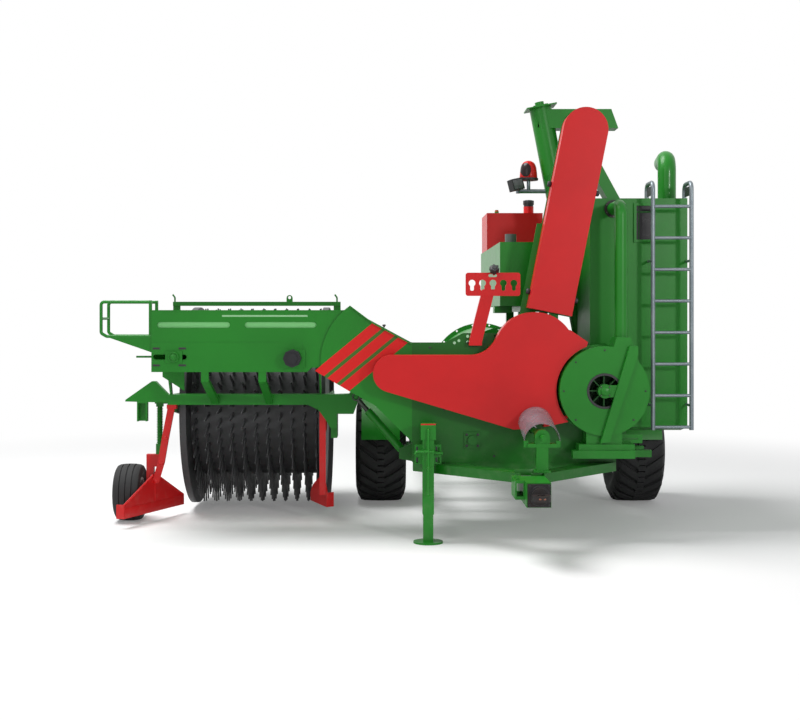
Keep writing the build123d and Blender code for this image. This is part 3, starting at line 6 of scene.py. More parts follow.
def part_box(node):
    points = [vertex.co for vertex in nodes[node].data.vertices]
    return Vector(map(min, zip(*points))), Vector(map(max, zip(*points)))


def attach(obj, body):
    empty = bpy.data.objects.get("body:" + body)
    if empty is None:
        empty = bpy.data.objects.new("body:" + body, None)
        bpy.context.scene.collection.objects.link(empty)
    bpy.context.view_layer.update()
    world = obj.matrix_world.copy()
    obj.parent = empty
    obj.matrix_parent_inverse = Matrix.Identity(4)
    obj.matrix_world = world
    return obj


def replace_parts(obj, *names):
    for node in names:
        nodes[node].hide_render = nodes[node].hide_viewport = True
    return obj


# Towed pumpkin harvester: paint, tread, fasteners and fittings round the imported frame.
# Lengths in the dictionaries are millimetres from the road axle's middle, and at() puts them in place.

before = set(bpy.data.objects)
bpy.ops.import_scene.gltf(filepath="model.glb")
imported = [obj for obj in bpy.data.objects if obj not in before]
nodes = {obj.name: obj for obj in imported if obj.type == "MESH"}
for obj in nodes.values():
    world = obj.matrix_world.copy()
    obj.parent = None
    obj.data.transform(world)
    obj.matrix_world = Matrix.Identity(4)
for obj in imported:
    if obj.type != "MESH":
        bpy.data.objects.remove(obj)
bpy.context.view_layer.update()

leftWheelLow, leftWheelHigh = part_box("tyre_left")
axleOffset = 1032.0
shift = Vector(((leftWheelLow.x + leftWheelHigh.x) / 2 + axleOffset / 1000,
    (leftWheelLow.y + leftWheelHigh.y) / 2, 0))


def at(x, y, z):
    return Vector((x, y, z)) / 1000 + shift


print("stage: frame loaded")


# Shared steps, as done by hand

def dropSelection():
    if bpy.context.mode != "OBJECT":
        bpy.ops.object.mode_set(mode="OBJECT")
    bpy.ops.object.select_all(action="DESELECT")


def onlyThis(piece):
    dropSelection()
    piece.select_set(True)
    bpy.context.view_layer.objects.active = piece
    return piece


def settle(piece, angle=35):
    # Place goes into the mesh, then soft shading across shallow edges.
    onlyThis(piece)
    bpy.ops.object.transform_apply(location=True, rotation=True, scale=True)
    bpy.ops.object.shade_smooth_by_angle(angle=radians(angle))
    return piece


def finishWith(piece, kind, **settings):
    onlyThis(piece)
    step = piece.modifiers.new(kind.title(), kind)
    for key, value in settings.items():
        setattr(step, key, value)
    bpy.ops.object.modifier_apply(modifier=step.name)
    return piece


def softEdges(piece, width, segments=2, angle=30):
    return finishWith(piece, "BEVEL", width=width / 1000, segments=segments, limit_method="ANGLE",
                      angle_limit=radians(angle), harden_normals=False)


def outwards(piece):
    onlyThis(piece)
    bpy.ops.object.mode_set(mode="EDIT")
    bpy.ops.mesh.select_all(action="SELECT")
    bpy.ops.mesh.remove_doubles(threshold=0.00002)
    bpy.ops.mesh.normals_make_consistent(inside=False)
    bpy.ops.object.mode_set(mode="OBJECT")
    return piece


def block(low, high):
    dropSelection()
    lowAt, highAt = at(*low), at(*high)
    bpy.ops.mesh.primitive_cube_add(size=1, location=(lowAt + highAt) / 2)
    piece = bpy.context.object
    piece.scale = [abs(a - b) for a, b in zip(highAt, lowAt)]
    bpy.ops.object.transform_apply(location=True, rotation=True, scale=True)
    return piece


def bar(start, end, radius, sides=16, tip=None):
    dropSelection()
    startAt, endAt = at(*start), at(*end)
    run = endAt - startAt
    turn = run.to_track_quat("Z", "Y").to_euler()
    endRadius = radius if tip is None else tip
    bpy.ops.mesh.primitive_cone_add(vertices=sides, radius1=radius / 1000, radius2=endRadius / 1000,
                                    depth=run.length, location=(startAt + endAt) / 2, rotation=turn)
    piece = bpy.context.object
    bpy.ops.object.transform_apply(location=True, rotation=True, scale=True)
    return piece


def lineOf(points):
    # One vertex, pushed along from point to point.
    dropSelection()
    bpy.ops.mesh.primitive_plane_add(size=0.001, location=points[0])
    piece = bpy.context.object
    bpy.ops.object.mode_set(mode="EDIT")
    bpy.ops.mesh.select_all(action="SELECT")
    bpy.ops.mesh.merge(type="CENTER")
    for before, after in zip(points, points[1:]):
        bpy.ops.mesh.extrude_region_move(TRANSFORM_OT_translate={"value": Vector(after) - Vector(before)})
    bpy.ops.object.mode_set(mode="OBJECT")
    bpy.ops.object.transform_apply(location=True, rotation=True, scale=True)
    return piece


def turnedPiece(profile, centre, axis, steps=48):
    # The profile is pairs of distance along the axis and radius, in millimetres.
    along = Vector(axis).normalized()
    across = along.orthogonal().normalized()
    middle = at(*centre)
    piece = lineOf([middle + along * a / 1000 + across * r / 1000 for a, r in profile])
    onlyThis(piece)
    bpy.ops.object.mode_set(mode="EDIT")
    bpy.ops.mesh.select_all(action="SELECT")
    bpy.ops.mesh.spin(steps=steps, angle=2 * pi, center=middle, axis=along)
    bpy.ops.object.mode_set(mode="OBJECT")
    return outwards(piece)


def bentBar(points, radius, bend, sides=6):
    # A round bar on a curve whose corners are handled by bezier arcs, made a mesh.
    dropSelection()
    line = bpy.data.curves.new("bar", "CURVE")
    line.dimensions = "3D"
    line.bevel_depth = radius / 1000
    line.bevel_resolution = sides
    line.use_fill_caps = True
    spline = line.splines.new("POLY")
    path = []
    for index, point in enumerate(points):
        here = at(*point)
        if index in (0, len(points) - 1):
            path.append(here)
            continue
        before, after = at(*points[index - 1]), at(*points[index + 1])
        inTo, outOf = (before - here).normalized(), (after - here).normalized()
        reach = min(bend / 1000, (before - here).length * 0.49, (after - here).length * 0.49)
        for share in (0, 0.17, 0.33, 0.5, 0.67, 0.83, 1):
            path.append((1 - share) ** 2 * (here + inTo * reach) + 2 * share * (1 - share) * here
                        + share ** 2 * (here + outOf * reach))
    spline.points.add(len(path) - 1)
    for slotPoint, place in zip(spline.points, path):
        slotPoint.co = (*place, 1)
    piece = bpy.data.objects.new("bar", line)
    bpy.context.scene.collection.objects.link(piece)
    onlyThis(piece)
    bpy.ops.object.convert(target="MESH")
    return bpy.context.object


def together(name, parts, body, material, angle=35, edges=0.0):
    # Several small parts become one piece that rides on its body.
    dropSelection()
    for part in parts:
        part.select_set(True)
    bpy.context.view_layer.objects.active = parts[0]
    if len(parts) > 1:
        bpy.ops.object.join()
    piece = bpy.context.object
    piece.name = name
    piece.data.name = name
    if edges:
        softEdges(piece, edges)
    if material:
        piece.data.materials.clear()
        piece.data.materials.append(material)
    settle(piece, angle)
    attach(piece, body)
    return piece


def copyOf(model, move):
    twin = model.copy()
    twin.data = model.data.copy()
    bpy.context.scene.collection.objects.link(twin)
    twin.data.transform(move)
    return twin


# Finishes

def sRgb(r, g, b):
    def linear(value):
        share = value / 255
        return share / 12.92 if share <= 0.04045 else ((share + 0.055) / 1.055) ** 2.4
    return (linear(r), linear(g), linear(b), 1.0)


def mathNode(tree, kind, first, second=None, third=None, clamp=False):
    node = tree.nodes.new("ShaderNodeMath")
    node.operation = kind
    node.use_clamp = clamp
    for index, value in enumerate((first, second, third)):
        if value is None:
            continue
        if isinstance(value, (int, float)):
            node.inputs[index].default_value = value
        else:
            tree.links.new(value, node.inputs[index])
    return node.outputs[0]


def noiseNode(tree, vector, scale, detail=3.0, roughness=0.5):
    node = tree.nodes.new("ShaderNodeTexNoise")
    node.inputs["Scale"].default_value = scale
    node.inputs["Detail"].default_value = detail
    node.inputs["Roughness"].default_value = roughness
    if vector is not None:
        tree.links.new(vector, node.inputs["Vector"])
    return node.outputs["Fac"]


def rangeNode(tree, value, low, high, toLow, toHigh):
    node = tree.nodes.new("ShaderNodeMapRange")
    node.interpolation_type = "SMOOTHSTEP"
    tree.links.new(value, node.inputs["Value"])
    for key, number in (("From Min", low), ("From Max", high), ("To Min", toLow), ("To Max", toHigh)):
        node.inputs[key].default_value = number
    return node.outputs["Result"]


def mixNode(tree, share, first, second, kind="MIX"):
    node = tree.nodes.new("ShaderNodeMix")
    node.data_type = "RGBA"
    node.blend_type = kind
    for socket, value in ((node.inputs[0], share), (node.inputs[6], first), (node.inputs[7], second)):
        if isinstance(value, bpy.types.NodeSocket):
            tree.links.new(value, socket)
        else:
            socket.default_value = value
    return node.outputs[2]


def newGroup(name, inputs, outputs):
    tree = bpy.data.node_groups.new(name, "ShaderNodeTree")
    for label, kind, value in inputs:
        socket = tree.interface.new_socket(name=label, in_out="INPUT", socket_type=kind)
        socket.default_value = value
    for label, kind in outputs:
        tree.interface.new_socket(name=label, in_out="OUTPUT", socket_type=kind)
    return tree, tree.nodes.new("NodeGroupInput"), tree.nodes.new("NodeGroupOutput")


def paintCoatGroup():
    # Sprayed coat: slow shade changes, fine orange peel, and dust that settles low and on top faces.
    tree, given, out = newGroup("paintCoat", [
        ("Paint", "NodeSocketColor", (0.1, 0.3, 0.1, 1)),
            ("Dust Colour", "NodeSocketColor", (0.35, 0.32, 0.27, 1)),
        ("Dust", "NodeSocketFloat", 0.1), ("Gloss", "NodeSocketFloat", 0.35),
    ], [("Color", "NodeSocketColor"), ("Roughness", "NodeSocketFloat"), ("Height", "NodeSocketFloat")])
    place = tree.nodes.new("ShaderNodeTexCoord").outputs["Object"]
    slow = noiseNode(tree, place, 2.1, 4, 0.55)
    streak = noiseNode(tree, place, 17, 5, 0.6)
    peel = noiseNode(tree, place, 420, 2, 0.5)
    split = tree.nodes.new("ShaderNodeSeparateXYZ")
    tree.links.new(place, split.inputs[0])
    low = rangeNode(tree, split.outputs["Z"], 0.05, 0.95, 1.0, 0.0)
    facing = tree.nodes.new("ShaderNodeSeparateXYZ")
    tree.links.new(tree.nodes.new("ShaderNodeNewGeometry").outputs["Normal"], facing.inputs[0])
    upward = rangeNode(tree, facing.outputs["Z"], 0.55, 1.0, 0.0, 0.8)
    patch = rangeNode(tree, streak, 0.45, 0.75, 0.0, 1.0)
    settled = mathNode(tree, "MULTIPLY", mathNode(tree, "MAXIMUM", low, upward), patch)
    dust = mathNode(tree, "MULTIPLY", settled, given.outputs["Dust"], clamp=True)
    shade = rangeNode(tree, slow, 0.3, 0.7, 0.93, 1.05)
    tinted = tree.nodes.new("ShaderNodeVectorMath")
    tinted.operation = "SCALE"
    tree.links.new(given.outputs["Paint"], tinted.inputs[0])
    tree.links.new(shade, tinted.inputs["Scale"])
    colour = mixNode(tree, dust, tinted.outputs[0], given.outputs["Dust Colour"])
    tree.links.new(colour, out.inputs["Color"])
    rough = mathNode(tree, "MULTIPLY_ADD", streak, 0.12, given.outputs["Gloss"])
    tree.links.new(mathNode(tree, "MULTIPLY_ADD", dust, 0.5, rough, clamp=True), out.inputs["Roughness"])
    tree.links.new(peel, out.inputs["Height"])
    return tree


def castGrainGroup():
    # Fine tooth of rubber, cast iron and bare steel.
    tree, given, out = newGroup("castGrain", [
        ("Colour", "NodeSocketColor", (0.05, 0.05, 0.05, 1)),
            ("Worn Colour", "NodeSocketColor", (0.1, 0.1, 0.1, 1)),
        ("Scale", "NodeSocketFloat", 60.0), ("Wear", "NodeSocketFloat", 0.4),
    ], [("Color", "NodeSocketColor"), ("Roughness Shift", "NodeSocketFloat"),
        ("Height", "NodeSocketFloat")])
    place = tree.nodes.new("ShaderNodeTexCoord").outputs["Object"]
    grain = tree.nodes.new("ShaderNodeTexNoise")
    grain.inputs["Detail"].default_value = 4
    tree.links.new(place, grain.inputs["Vector"])
    tree.links.new(given.outputs["Scale"], grain.inputs["Scale"])
    cloud = noiseNode(tree, place, 6, 5, 0.6)
    worn = mathNode(tree, "MULTIPLY", rangeNode(tree, cloud, 0.42, 0.72, 0.0, 1.0), given.outputs["Wear"],
        clamp=True)
    tree.links.new(mixNode(tree, worn, given.outputs["Colour"], given.outputs["Worn Colour"]),
        out.inputs["Color"])
    tree.links.new(mathNode(tree, "MULTIPLY_ADD", cloud, 0.2, -0.1), out.inputs["Roughness Shift"])
    tree.links.new(grain.outputs["Fac"], out.inputs["Height"])
    return tree


paintCoat = paintCoatGroup()
castGrain = castGrainGroup()


def startMaterial(name):
    material = bpy.data.materials.new(name)
    material.use_nodes = True
    tree = material.node_tree
    return material, tree, tree.nodes["Principled BSDF"]


def bumpInto(tree, shader, height, strength, distance):
    bump = tree.nodes.new("ShaderNodeBump")
    bump.inputs["Strength"].default_value = strength
    bump.inputs["Distance"].default_value = distance
    tree.links.new(height, bump.inputs["Height"])
    tree.links.new(bump.outputs[0], shader.inputs["Normal"])


windowPane = {"low": (763, 0, 2053), "high": (867, 0, 2289), "glass": (26, 24, 28)}


def windowFrame(tree, base):
    # Green frame round a dark pane.
    split = tree.nodes.new("ShaderNodeSeparateXYZ")
    tree.links.new(tree.nodes.new("ShaderNodeTexCoord").outputs["Object"], split.inputs[0])
    low, high = at(*windowPane["low"]), at(*windowPane["high"])
    inside = None
    for axis, first, last in (("X", low.x, high.x), ("Z", low.z, high.z)):
        for kind, edge in (("GREATER_THAN", first), ("LESS_THAN", last)):
            side = mathNode(tree, kind, split.outputs[axis], edge)
            inside = side if inside is None else mathNode(tree, "MULTIPLY", inside, side)
    return mixNode(tree, inside, base, sRgb(*windowPane["glass"]))


def paintedSteel(name, colour, gloss=0.3, dust=0.1, coat=0.1, pattern=None):
    material, tree, shader = startMaterial(name)
    coatNode = tree.nodes.new("ShaderNodeGroup")
    coatNode.node_tree = paintCoat
    coatNode.inputs["Paint"].default_value = colour
    coatNode.inputs["Dust"].default_value = dust
    coatNode.inputs["Gloss"].default_value = gloss
    if pattern:
        tree.links.new(pattern(tree, colour), coatNode.inputs["Paint"])
    tree.links.new(coatNode.outputs["Color"], shader.inputs["Base Color"])
    tree.links.new(coatNode.outputs["Roughness"], shader.inputs["Roughness"])
    shader.inputs["Coat Weight"].default_value = coat
    shader.inputs["Specular IOR Level"].default_value = 0.3
    shader.inputs["Coat Roughness"].default_value = 0.12
    bumpInto(tree, shader, coatNode.outputs["Height"], 0.06, 0.0006)
    return material


def grainMaterial(name, colour, worn, rough, metal=0.0, scale=60.0, wear=0.4, bump=0.2, distance=0.001,
    specular=0.5):
    material, tree, shader = startMaterial(name)
    grain = tree.nodes.new("ShaderNodeGroup")
    grain.node_tree = castGrain
    grain.inputs["Colour"].default_value = colour
    grain.inputs["Worn Colour"].default_value = worn
    grain.inputs["Scale"].default_value = scale
    grain.inputs["Wear"].default_value = wear
    tree.links.new(grain.outputs["Color"], shader.inputs["Base Color"])
    tree.links.new(mathNode(tree, "ADD", grain.outputs["Roughness Shift"], rough, clamp=True),
        shader.inputs["Roughness"])
    shader.inputs["Metallic"].default_value = metal
    shader.inputs["Specular IOR Level"].default_value = specular
    bumpInto(tree, shader, grain.outputs["Height"], bump, distance)
    return material


colours = {
    "green": sRgb(28, 128, 30),
    "red": sRgb(210, 26, 28),
    "stripeRed": sRgb(226, 26, 24),
    "stripeGap": sRgb(66, 112, 34),
    "shadeGreen": sRgb(20, 84, 26),
    "shadedBodyGreen": sRgb(20, 104, 22),
    "drum": sRgb(60, 60, 62),
    "tine": sRgb(34, 34, 35),
    "tyre": sRgb(44, 44, 45),
    "belt": sRgb(38, 38, 38),
    "black": sRgb(32, 32, 34),
    "ladder": sRgb(122, 132, 138),
    "rim": sRgb(168, 170, 172),
}

stripes = {
    # Across the chute: middle of each red band and half its width, along a line square to the bands.
    "angle": 39.5, "bands": (0.0, 94.0, 188.0), "half": 35.0, "start": -1250.0, "startZ": 1286.0,
    "front": -1733.0, "flange": -1742.0,
}


def chuteBands(tree, base):
    # Slanting red bands on the chute's front plate, with thin darker lines between.
    split = tree.nodes.new("ShaderNodeSeparateXYZ")
    tree.links.new(tree.nodes.new("ShaderNodeTexCoord").outputs["Object"], split.inputs[0])
    start = at(stripes["start"], 0, stripes["startZ"])
    tilt = radians(stripes["angle"])
    alongX = mathNode(tree, "SUBTRACT", split.outputs["X"], start.x)
    alongZ = mathNode(tree, "SUBTRACT", split.outputs["Z"], start.z)
    across = mathNode(tree, "ADD", mathNode(tree, "MULTIPLY", alongX, sin(tilt)),
                      mathNode(tree, "MULTIPLY", alongZ, -cos(tilt)))
    low, high = stripes["bands"][0] - stripes["half"], stripes["bands"][-1] + stripes["half"]
    inside = mathNode(tree, "MULTIPLY", mathNode(tree, "GREATER_THAN", across, low / 1000),
                      mathNode(tree, "LESS_THAN", across, high / 1000))
    colour = mixNode(tree, inside, base, colours["stripeGap"])
    for middle in stripes["bands"]:
        away = mathNode(tree, "ABSOLUTE", mathNode(tree, "SUBTRACT", across, middle / 1000))
        colour = mixNode(tree, mathNode(tree, "LESS_THAN", away, stripes["half"] / 1000), colour,
            colours["stripeRed"])
    frontY, flangeY = at(0, stripes["front"], 0).y, at(0, stripes["flange"], 0).y
    onFront = mathNode(tree, "MULTIPLY", mathNode(tree, "LESS_THAN", split.outputs["Y"], frontY),
                       mathNode(tree, "GREATER_THAN", split.outputs["Y"], flangeY))
    return mixNode(tree, onFront, base, colour)


changeHeights = {"oilBreather": 2038.0, "gaugeLeg": 492.0}


def colourAbove(height, upper):
    # A second colour above a height: the oil tank's breather, and the top of the gauge wheel's leg.
    def pattern(tree, base):
        split = tree.nodes.new("ShaderNodeSeparateXYZ")
        tree.links.new(tree.nodes.new("ShaderNodeTexCoord").outputs["Object"], split.inputs[0])
        above = mathNode(tree, "GREATER_THAN", split.outputs["Z"], height / 1000)
        return mixNode(tree, above, base, upper)
    return pattern


motorPlate = {"front": -1735.8, "farEnd": -2000.0}


def motorOnPlate(tree, base):
    # The belt motor is black; its plate and the tensioner at the far end are green.
    split = tree.nodes.new("ShaderNodeSeparateXYZ")
    tree.links.new(tree.nodes.new("ShaderNodeTexCoord").outputs["Object"], split.inputs[0])
    plateY, farX = at(0, motorPlate["front"], 0).y, at(motorPlate["farEnd"], 0, 0).x
    plate = mathNode(tree, "MAXIMUM", mathNode(tree, "GREATER_THAN", split.outputs["Y"], plateY),
                     mathNode(tree, "LESS_THAN", split.outputs["X"], farX))
    return mixNode(tree, plate, base, colours["green"])


green = paintedSteel("greenPaint", colours["green"])
# A darker copy of the green: painted shade on the housing, frame, axle, trough and gusset, which sit in the
# machine's shade.
shadedBodyGreen = paintedSteel("shadedBodyGreenPaint", colours["shadedBodyGreen"], dust=0.14)
motorPaint = paintedSteel("beltMotorPaint", sRgb(34, 34, 38), gloss=0.35, pattern=motorOnPlate)
oilTankPaint = paintedSteel("oilTankPaint", colours["green"],
    pattern=colourAbove(changeHeights["oilBreather"], sRgb(96, 102, 100)))
paintedLightGreen = paintedSteel("paintedLightGreenPaint", sRgb(128, 206, 128), gloss=0.4)
# A copper colour painted as a glint on the drawbar's swivel.
paintedGlint = paintedSteel("paintedCopperGlint", sRgb(150, 92, 70), gloss=0.3)
# A darker copy of the green: painted shade on the fan rotor and the window straps.
paintedShadeGreen = paintedSteel("shadedGreenPaint", colours["shadeGreen"], gloss=0.45, dust=0.2)
red = paintedSteel("redPaint", colours["red"], gloss=0.32)
chutePaint = paintedSteel("stripedChutePaint", colours["green"], pattern=chuteBands)
legPaint = paintedSteel("gaugeLegPaint", colours["red"], pattern=colourAbove(changeHeights["gaugeLeg"],
    colours["green"]))
drumPaint = grainMaterial("drumBlack", colours["drum"], sRgb(78, 78, 80), 0.5, scale=90, wear=0.35,
    bump=0.12)
tinePaint = grainMaterial("tineBlack", colours["tine"], sRgb(70, 70, 72), 0.45, metal=0.2, scale=120,
    wear=0.5, bump=0.1)
tyreRubber = grainMaterial("tyreRubber", colours["tyre"], sRgb(60, 60, 60), 0.72, scale=140, wear=0.35,
    bump=0.25, specular=0.35)
beltRubber = grainMaterial("beltRubber", colours["belt"], sRgb(60, 60, 58), 0.7, scale=150, wear=0.4,
    bump=0.3)
blackPlastic = grainMaterial("blackPlastic", colours["black"], sRgb(48, 48, 50), 0.45, scale=260,
    wear=0.2, bump=0.15)
ladderSteel = grainMaterial("ladderZinc", colours["ladder"], sRgb(146, 154, 158), 0.4, metal=0.65,
    scale=40, wear=0.6, bump=0.08)
rimPaint = grainMaterial("rimSilver", colours["rim"], sRgb(130, 132, 134), 0.42, metal=0.35, scale=50,
    wear=0.5, bump=0.06)
shaftSteel = grainMaterial("shaftSteel", sRgb(150, 150, 152), sRgb(110, 104, 98), 0.34, metal=0.95,
    scale=60, wear=0.5, bump=0.1)
boltSteel = grainMaterial("boltZinc", sRgb(66, 72, 66), sRgb(120, 122, 118), 0.4, metal=0.7, scale=200,
    wear=0.5, bump=0.1)
castIron = grainMaterial("castIron", sRgb(34, 33, 34), sRgb(58, 46, 42), 0.45, metal=0.4, scale=150,
    wear=0.5, bump=0.2)
windowPaint = paintedSteel("windowAndFrame", colours["green"], gloss=0.2, pattern=windowFrame)
lensGlass = grainMaterial("lampLens", sRgb(96, 98, 100), sRgb(130, 132, 134), 0.15, scale=60, wear=0.4,
    bump=0.1)


def shieldPlastic():
    material, tree, shader = startMaterial("clearShieldPlastic")
    place = tree.nodes.new("ShaderNodeTexCoord").outputs["Object"]
    haze = noiseNode(tree, place, 9, 4, 0.6)
    colour = mixNode(tree, rangeNode(tree, haze, 0.3, 0.7, 0.0, 1.0), sRgb(138, 130, 138),
        sRgb(158, 152, 160))
    tree.links.new(colour, shader.inputs["Base Color"])
    tree.links.new(rangeNode(tree, haze, 0.3, 0.7, 0.12, 0.3), shader.inputs["Roughness"])
    tree.links.new(rangeNode(tree, haze, 0.2, 0.8, 0.52, 0.58), shader.inputs["Alpha"])
    return material


clearShield = shieldPlastic()

finishes = {
    "crusher_housing": shadedBodyGreen, "frame": shadedBodyGreen, "axle": shadedBodyGreen, "sieve_trough": shadedBodyGreen,
        "tow_eye": castIron, "pto_shaft": green, "pto_shield": clearShield, "chute": chutePaint,
        "sieve_drum": shaftSteel,
    "fan_rotor": paintedShadeGreen, "drive_guard_low": red, "drive_guard_high": red, "ladder": ladderSteel,
        "water_tank": red,
    "hose_holder": red, "lamp_bracket": ladderSteel, "rim_left": rimPaint, "rim_right": rimPaint,
        "gauge_rim": rimPaint,
    "gauge_leg": legPaint, "conveyor": beltRubber, "conveyor_rollers": shaftSteel,
        "conveyor_motor": motorPaint, "oil_tank": oilTankPaint,
    "pickup_drum": drumPaint, "shoe_left": red, "shoe_right": red, "tank_window": windowPaint,
        "hose_post": red,
    "lift_rod": boltSteel,
    "tyre_left": tyreRubber, "tyre_right": tyreRubber, "gauge_tyre": tyreRubber, "beacon": red,
        "work_lamp": blackPlastic,
}
for nodeName, node in nodes.items():
    node.data.materials.clear()
    node.data.materials.append(finishes.get(nodeName, green))
print("stage: finishes on the packed nodes")


# Road tyres: carcass, slanting lugs in turn on each side, and short blocks on the middle
roadTyre = {
    "radius": 437.0, "grooveDepth": 22.0, "lugs": 26, "lugWidth": 74.0, "slope": 0.72, "inner": 24.0,
        "outer": 190.0, "lugSunk": 6.0, "lugTaper": 0.16, "lugLean": 0.14,
    "blocks": 52, "blockLength": 41.0, "blockHalf": 30.0,
    "carcass": [(-153, 203), (-153, 224), (-176, 262), (-197, 300), (-201.5, 326), (-196, 352),
        (-186, 378), (-172, 398), (-150, 409), (-90, 414), (0, 415.5), (90, 414), (150, 409), (172, 398),
        (186, 378), (196, 352), (201.5, 326), (197, 300), (176, 262), (153, 224), (153, 203), (0, 206)],
    "crown": [(0, 437), (24, 437), (90, 436), (150, 433), (168, 424), (180, 404), (190, 376)],
}


def heightAt(profile, across):
    for (a, low), (b, high) in zip(profile, profile[1:]):
        if a <= across <= b:
            return low + (high - low) * (across - a) / (b - a)
    return profile[-1][1]


# The carcass from its middle out to the shoulder, which the lugs stand on
lugGround = [(abs(a), r) for a, r in roadTyre["carcass"] if a >= 0][:7]


def lugBar(centre, side, direction):
    # One slanting bar, laid flat as a cut block and then wrapped on the crown.
    plan = roadTyre
    dropSelection()
    bpy.ops.mesh.primitive_cube_add(size=2)
    piece = bpy.context.object
    bpy.ops.object.mode_set(mode="EDIT")
    bpy.ops.mesh.select_all(action="SELECT")
    bpy.ops.mesh.subdivide(number_cuts=5)
    bpy.ops.object.mode_set(mode="OBJECT")
    for vertex in piece.data.vertices:
        run = (vertex.co.x + 1) / 2
        across = plan["inner"] + run * (plan["outer"] - plan["inner"])
        taper = 1 - plan["lugTaper"] * run
        top = heightAt(plan["crown"], across)
        foot = heightAt(lugGround, across) - plan["lugSunk"]
        up = (vertex.co.z + 1) / 2
        radius = foot + (top - foot) * up
        lean = 1 - plan["lugLean"] * up
        halfWidth = 0.5 * plan["lugWidth"] * taper * lean
        around = plan["slope"] * (across - plan["inner"]) + vertex.co.y * halfWidth
        angle = direction * around / plan["radius"]
        vertex.co = (side * across / 1000, -radius * cos(angle) / 1000, radius * sin(angle) / 1000)
    piece.data.transform(Matrix.Translation(at(*centre)))
    return outwards(piece)


def crownBlock(centre):
    plan = roadTyre
    half = plan["blockHalf"]
    piece = block((-half, -plan["radius"], -plan["blockLength"] / 2),
        (half, -plan["radius"] + 30, plan["blockLength"] / 2))
    piece.data.transform(Matrix.Translation(at(*centre) - shift))
    return softEdges(piece, 3, 1)


def wheelTurn(centre, angle):
    middle = at(*centre)
    return Matrix.Translation(middle) @ Matrix.Rotation(angle, 4, "X") @ Matrix.Translation(-middle)


def roadTread(name, centre, body, node):
    plan = roadTyre
    parts = [turnedPiece(plan["carcass"] + plan["carcass"][:1], centre, (1, 0, 0), 78)]
    step = 2 * pi / plan["lugs"]
    for side in (-1, 1):
        model = lugBar(centre, side, 1)
        for index in range(plan["lugs"]):
            parts.append(copyOf(model, wheelTurn(centre, step * (index + 0.5 * (side > 0)))))
        bpy.data.objects.remove(model)
    model = crownBlock(centre)
    for index in range(plan["blocks"]):
        parts.append(copyOf(model, wheelTurn(centre, 2 * pi * (index + 0.5) / plan["blocks"])))
    bpy.data.objects.remove(model)
    piece = together(name, parts, body, tyreRubber, 28)
    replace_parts(piece, node)
    return piece


for side, word in ((-1, "left"), (1, "right")):
    roadTread(f"road_tyre_{word}", (side * axleOffset, 0, 437.5), f"wheel_{word}", f"tyre_{word}")

gaugeTyre = {
    "centre": (-2889.0, -1000.0, 210.0),
    "profile": [(-76, 107), (-76, 118), (-92, 134), (-99.5, 158), (-97, 180), (-88, 196), (-72, 204),
        (-49, 207), (-47, 199), (-42, 199), (-40, 208.5), (-4, 209.7), (-3, 201), (3, 201), (4, 209.7),
        (40, 208.5), (42, 199), (47, 199), (49, 207), (72, 204), (88, 196), (97, 180), (99.5, 158),
        (92, 134), (76, 118), (76, 107), (0, 109), (-76, 107)],
}
gaugePiece = together("gauge_wheel_tyre", [turnedPiece(gaugeTyre["profile"], gaugeTyre["centre"],
    (1, 0, 0), 72)], "gauge_wheel", tyreRubber, 28)
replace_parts(gaugePiece, "gauge_tyre")
print("stage: tyres")


# Hex bolts and screws, one model copied to each place
def boltModel(across, head, washer=True):
    parts = []
    parts.append(bar((0, 0, 0), (0, 0, head), across / sqrt(3), 6))
    softEdges(parts[0], across * 0.06, 2)
    if washer:
        parts.append(bar((0, 0, -0.5), (0, 0, 1.6), across * 0.62, 20))
    parts.append(bar((0, 0, head - 0.5), (0, 0, head + across * 0.22), across * 0.27, 12))
    dropSelection()
    for part in parts:
        part.data.transform(Matrix.Translation(-shift))
        part.select_set(True)
    bpy.context.view_layer.objects.active = parts[0]
    bpy.ops.object.join()
    return bpy.context.object


def boltsAt(places, facing, across, head, washer=True):
    model = boltModel(across, head, washer)
    turn = Vector(facing).to_track_quat("Z", "Y").to_matrix().to_4x4()
    copies = [copyOf(model, Matrix.Translation(at(*place)) @ turn) for place in places]
    bpy.data.objects.remove(model)
    return copies


frontBolts = {
    "face": -1740.0,
    "panel": [(-590, 880), (-510, 866), (-430, 1335), (-640, 1010), (330, 640), (-700, 700), (-700, 560),
        (-250, 560), (100, 560), (380, 560)],
    "bearing": [(-437, 708), (-361, 708), (-437, 632), (-361, 632)],
}
bolts = boltsAt([(x, frontBolts["face"], z) for x, z in frontBolts["panel"]], (0, -1, 0), 13, 7)
bolts += boltsAt([(x, frontBolts["face"] - 12, z) for x, z in frontBolts["bearing"]], (0, -1, 0), 15, 9)
together("body_front_bolts", bolts, "chassis", blackPlastic)

fanBolts = {"centre": (473.0, 1017.0), "ring": 273.0, "face": -1940.0, "count": 8}
bolts = []
for index in range(fanBolts["count"]):
    angle = 2 * pi * index / fanBolts["count"]
    x, z = (fanBolts["centre"][0] + fanBolts["ring"] * cos(angle),
        fanBolts["centre"][1] + fanBolts["ring"] * sin(angle))
    if index != 6:
        bolts += boltsAt([(x, fanBolts["face"], z)], (0, -1, 0), 10, 5)
together("fan_cover_bolts", bolts, "chassis", blackPlastic)
print("stage: bolts")


# Knobs, caps and small fittings
def lobedHead(start, end, inner, outer, lobes):
    # A star head: a many sided bar whose sides go in and out in turn.
    piece = bar(start, end, outer, lobes * 4)
    middle = (at(*start) + at(*end)) / 2
    along = (at(*end) - at(*start)).normalized()
    onlyThis(piece)
    for number, vertex in enumerate(piece.data.vertices):
        reach = vertex.co - middle
        up = along * reach.dot(along)
        out = reach - up
        if out.length > 0.001:
            share = inner / outer if (number // 2) % 4 in (2, 3) else 1.0
            vertex.co = middle + up + out * share
    softEdges(piece, 2.0, 2)
    return piece


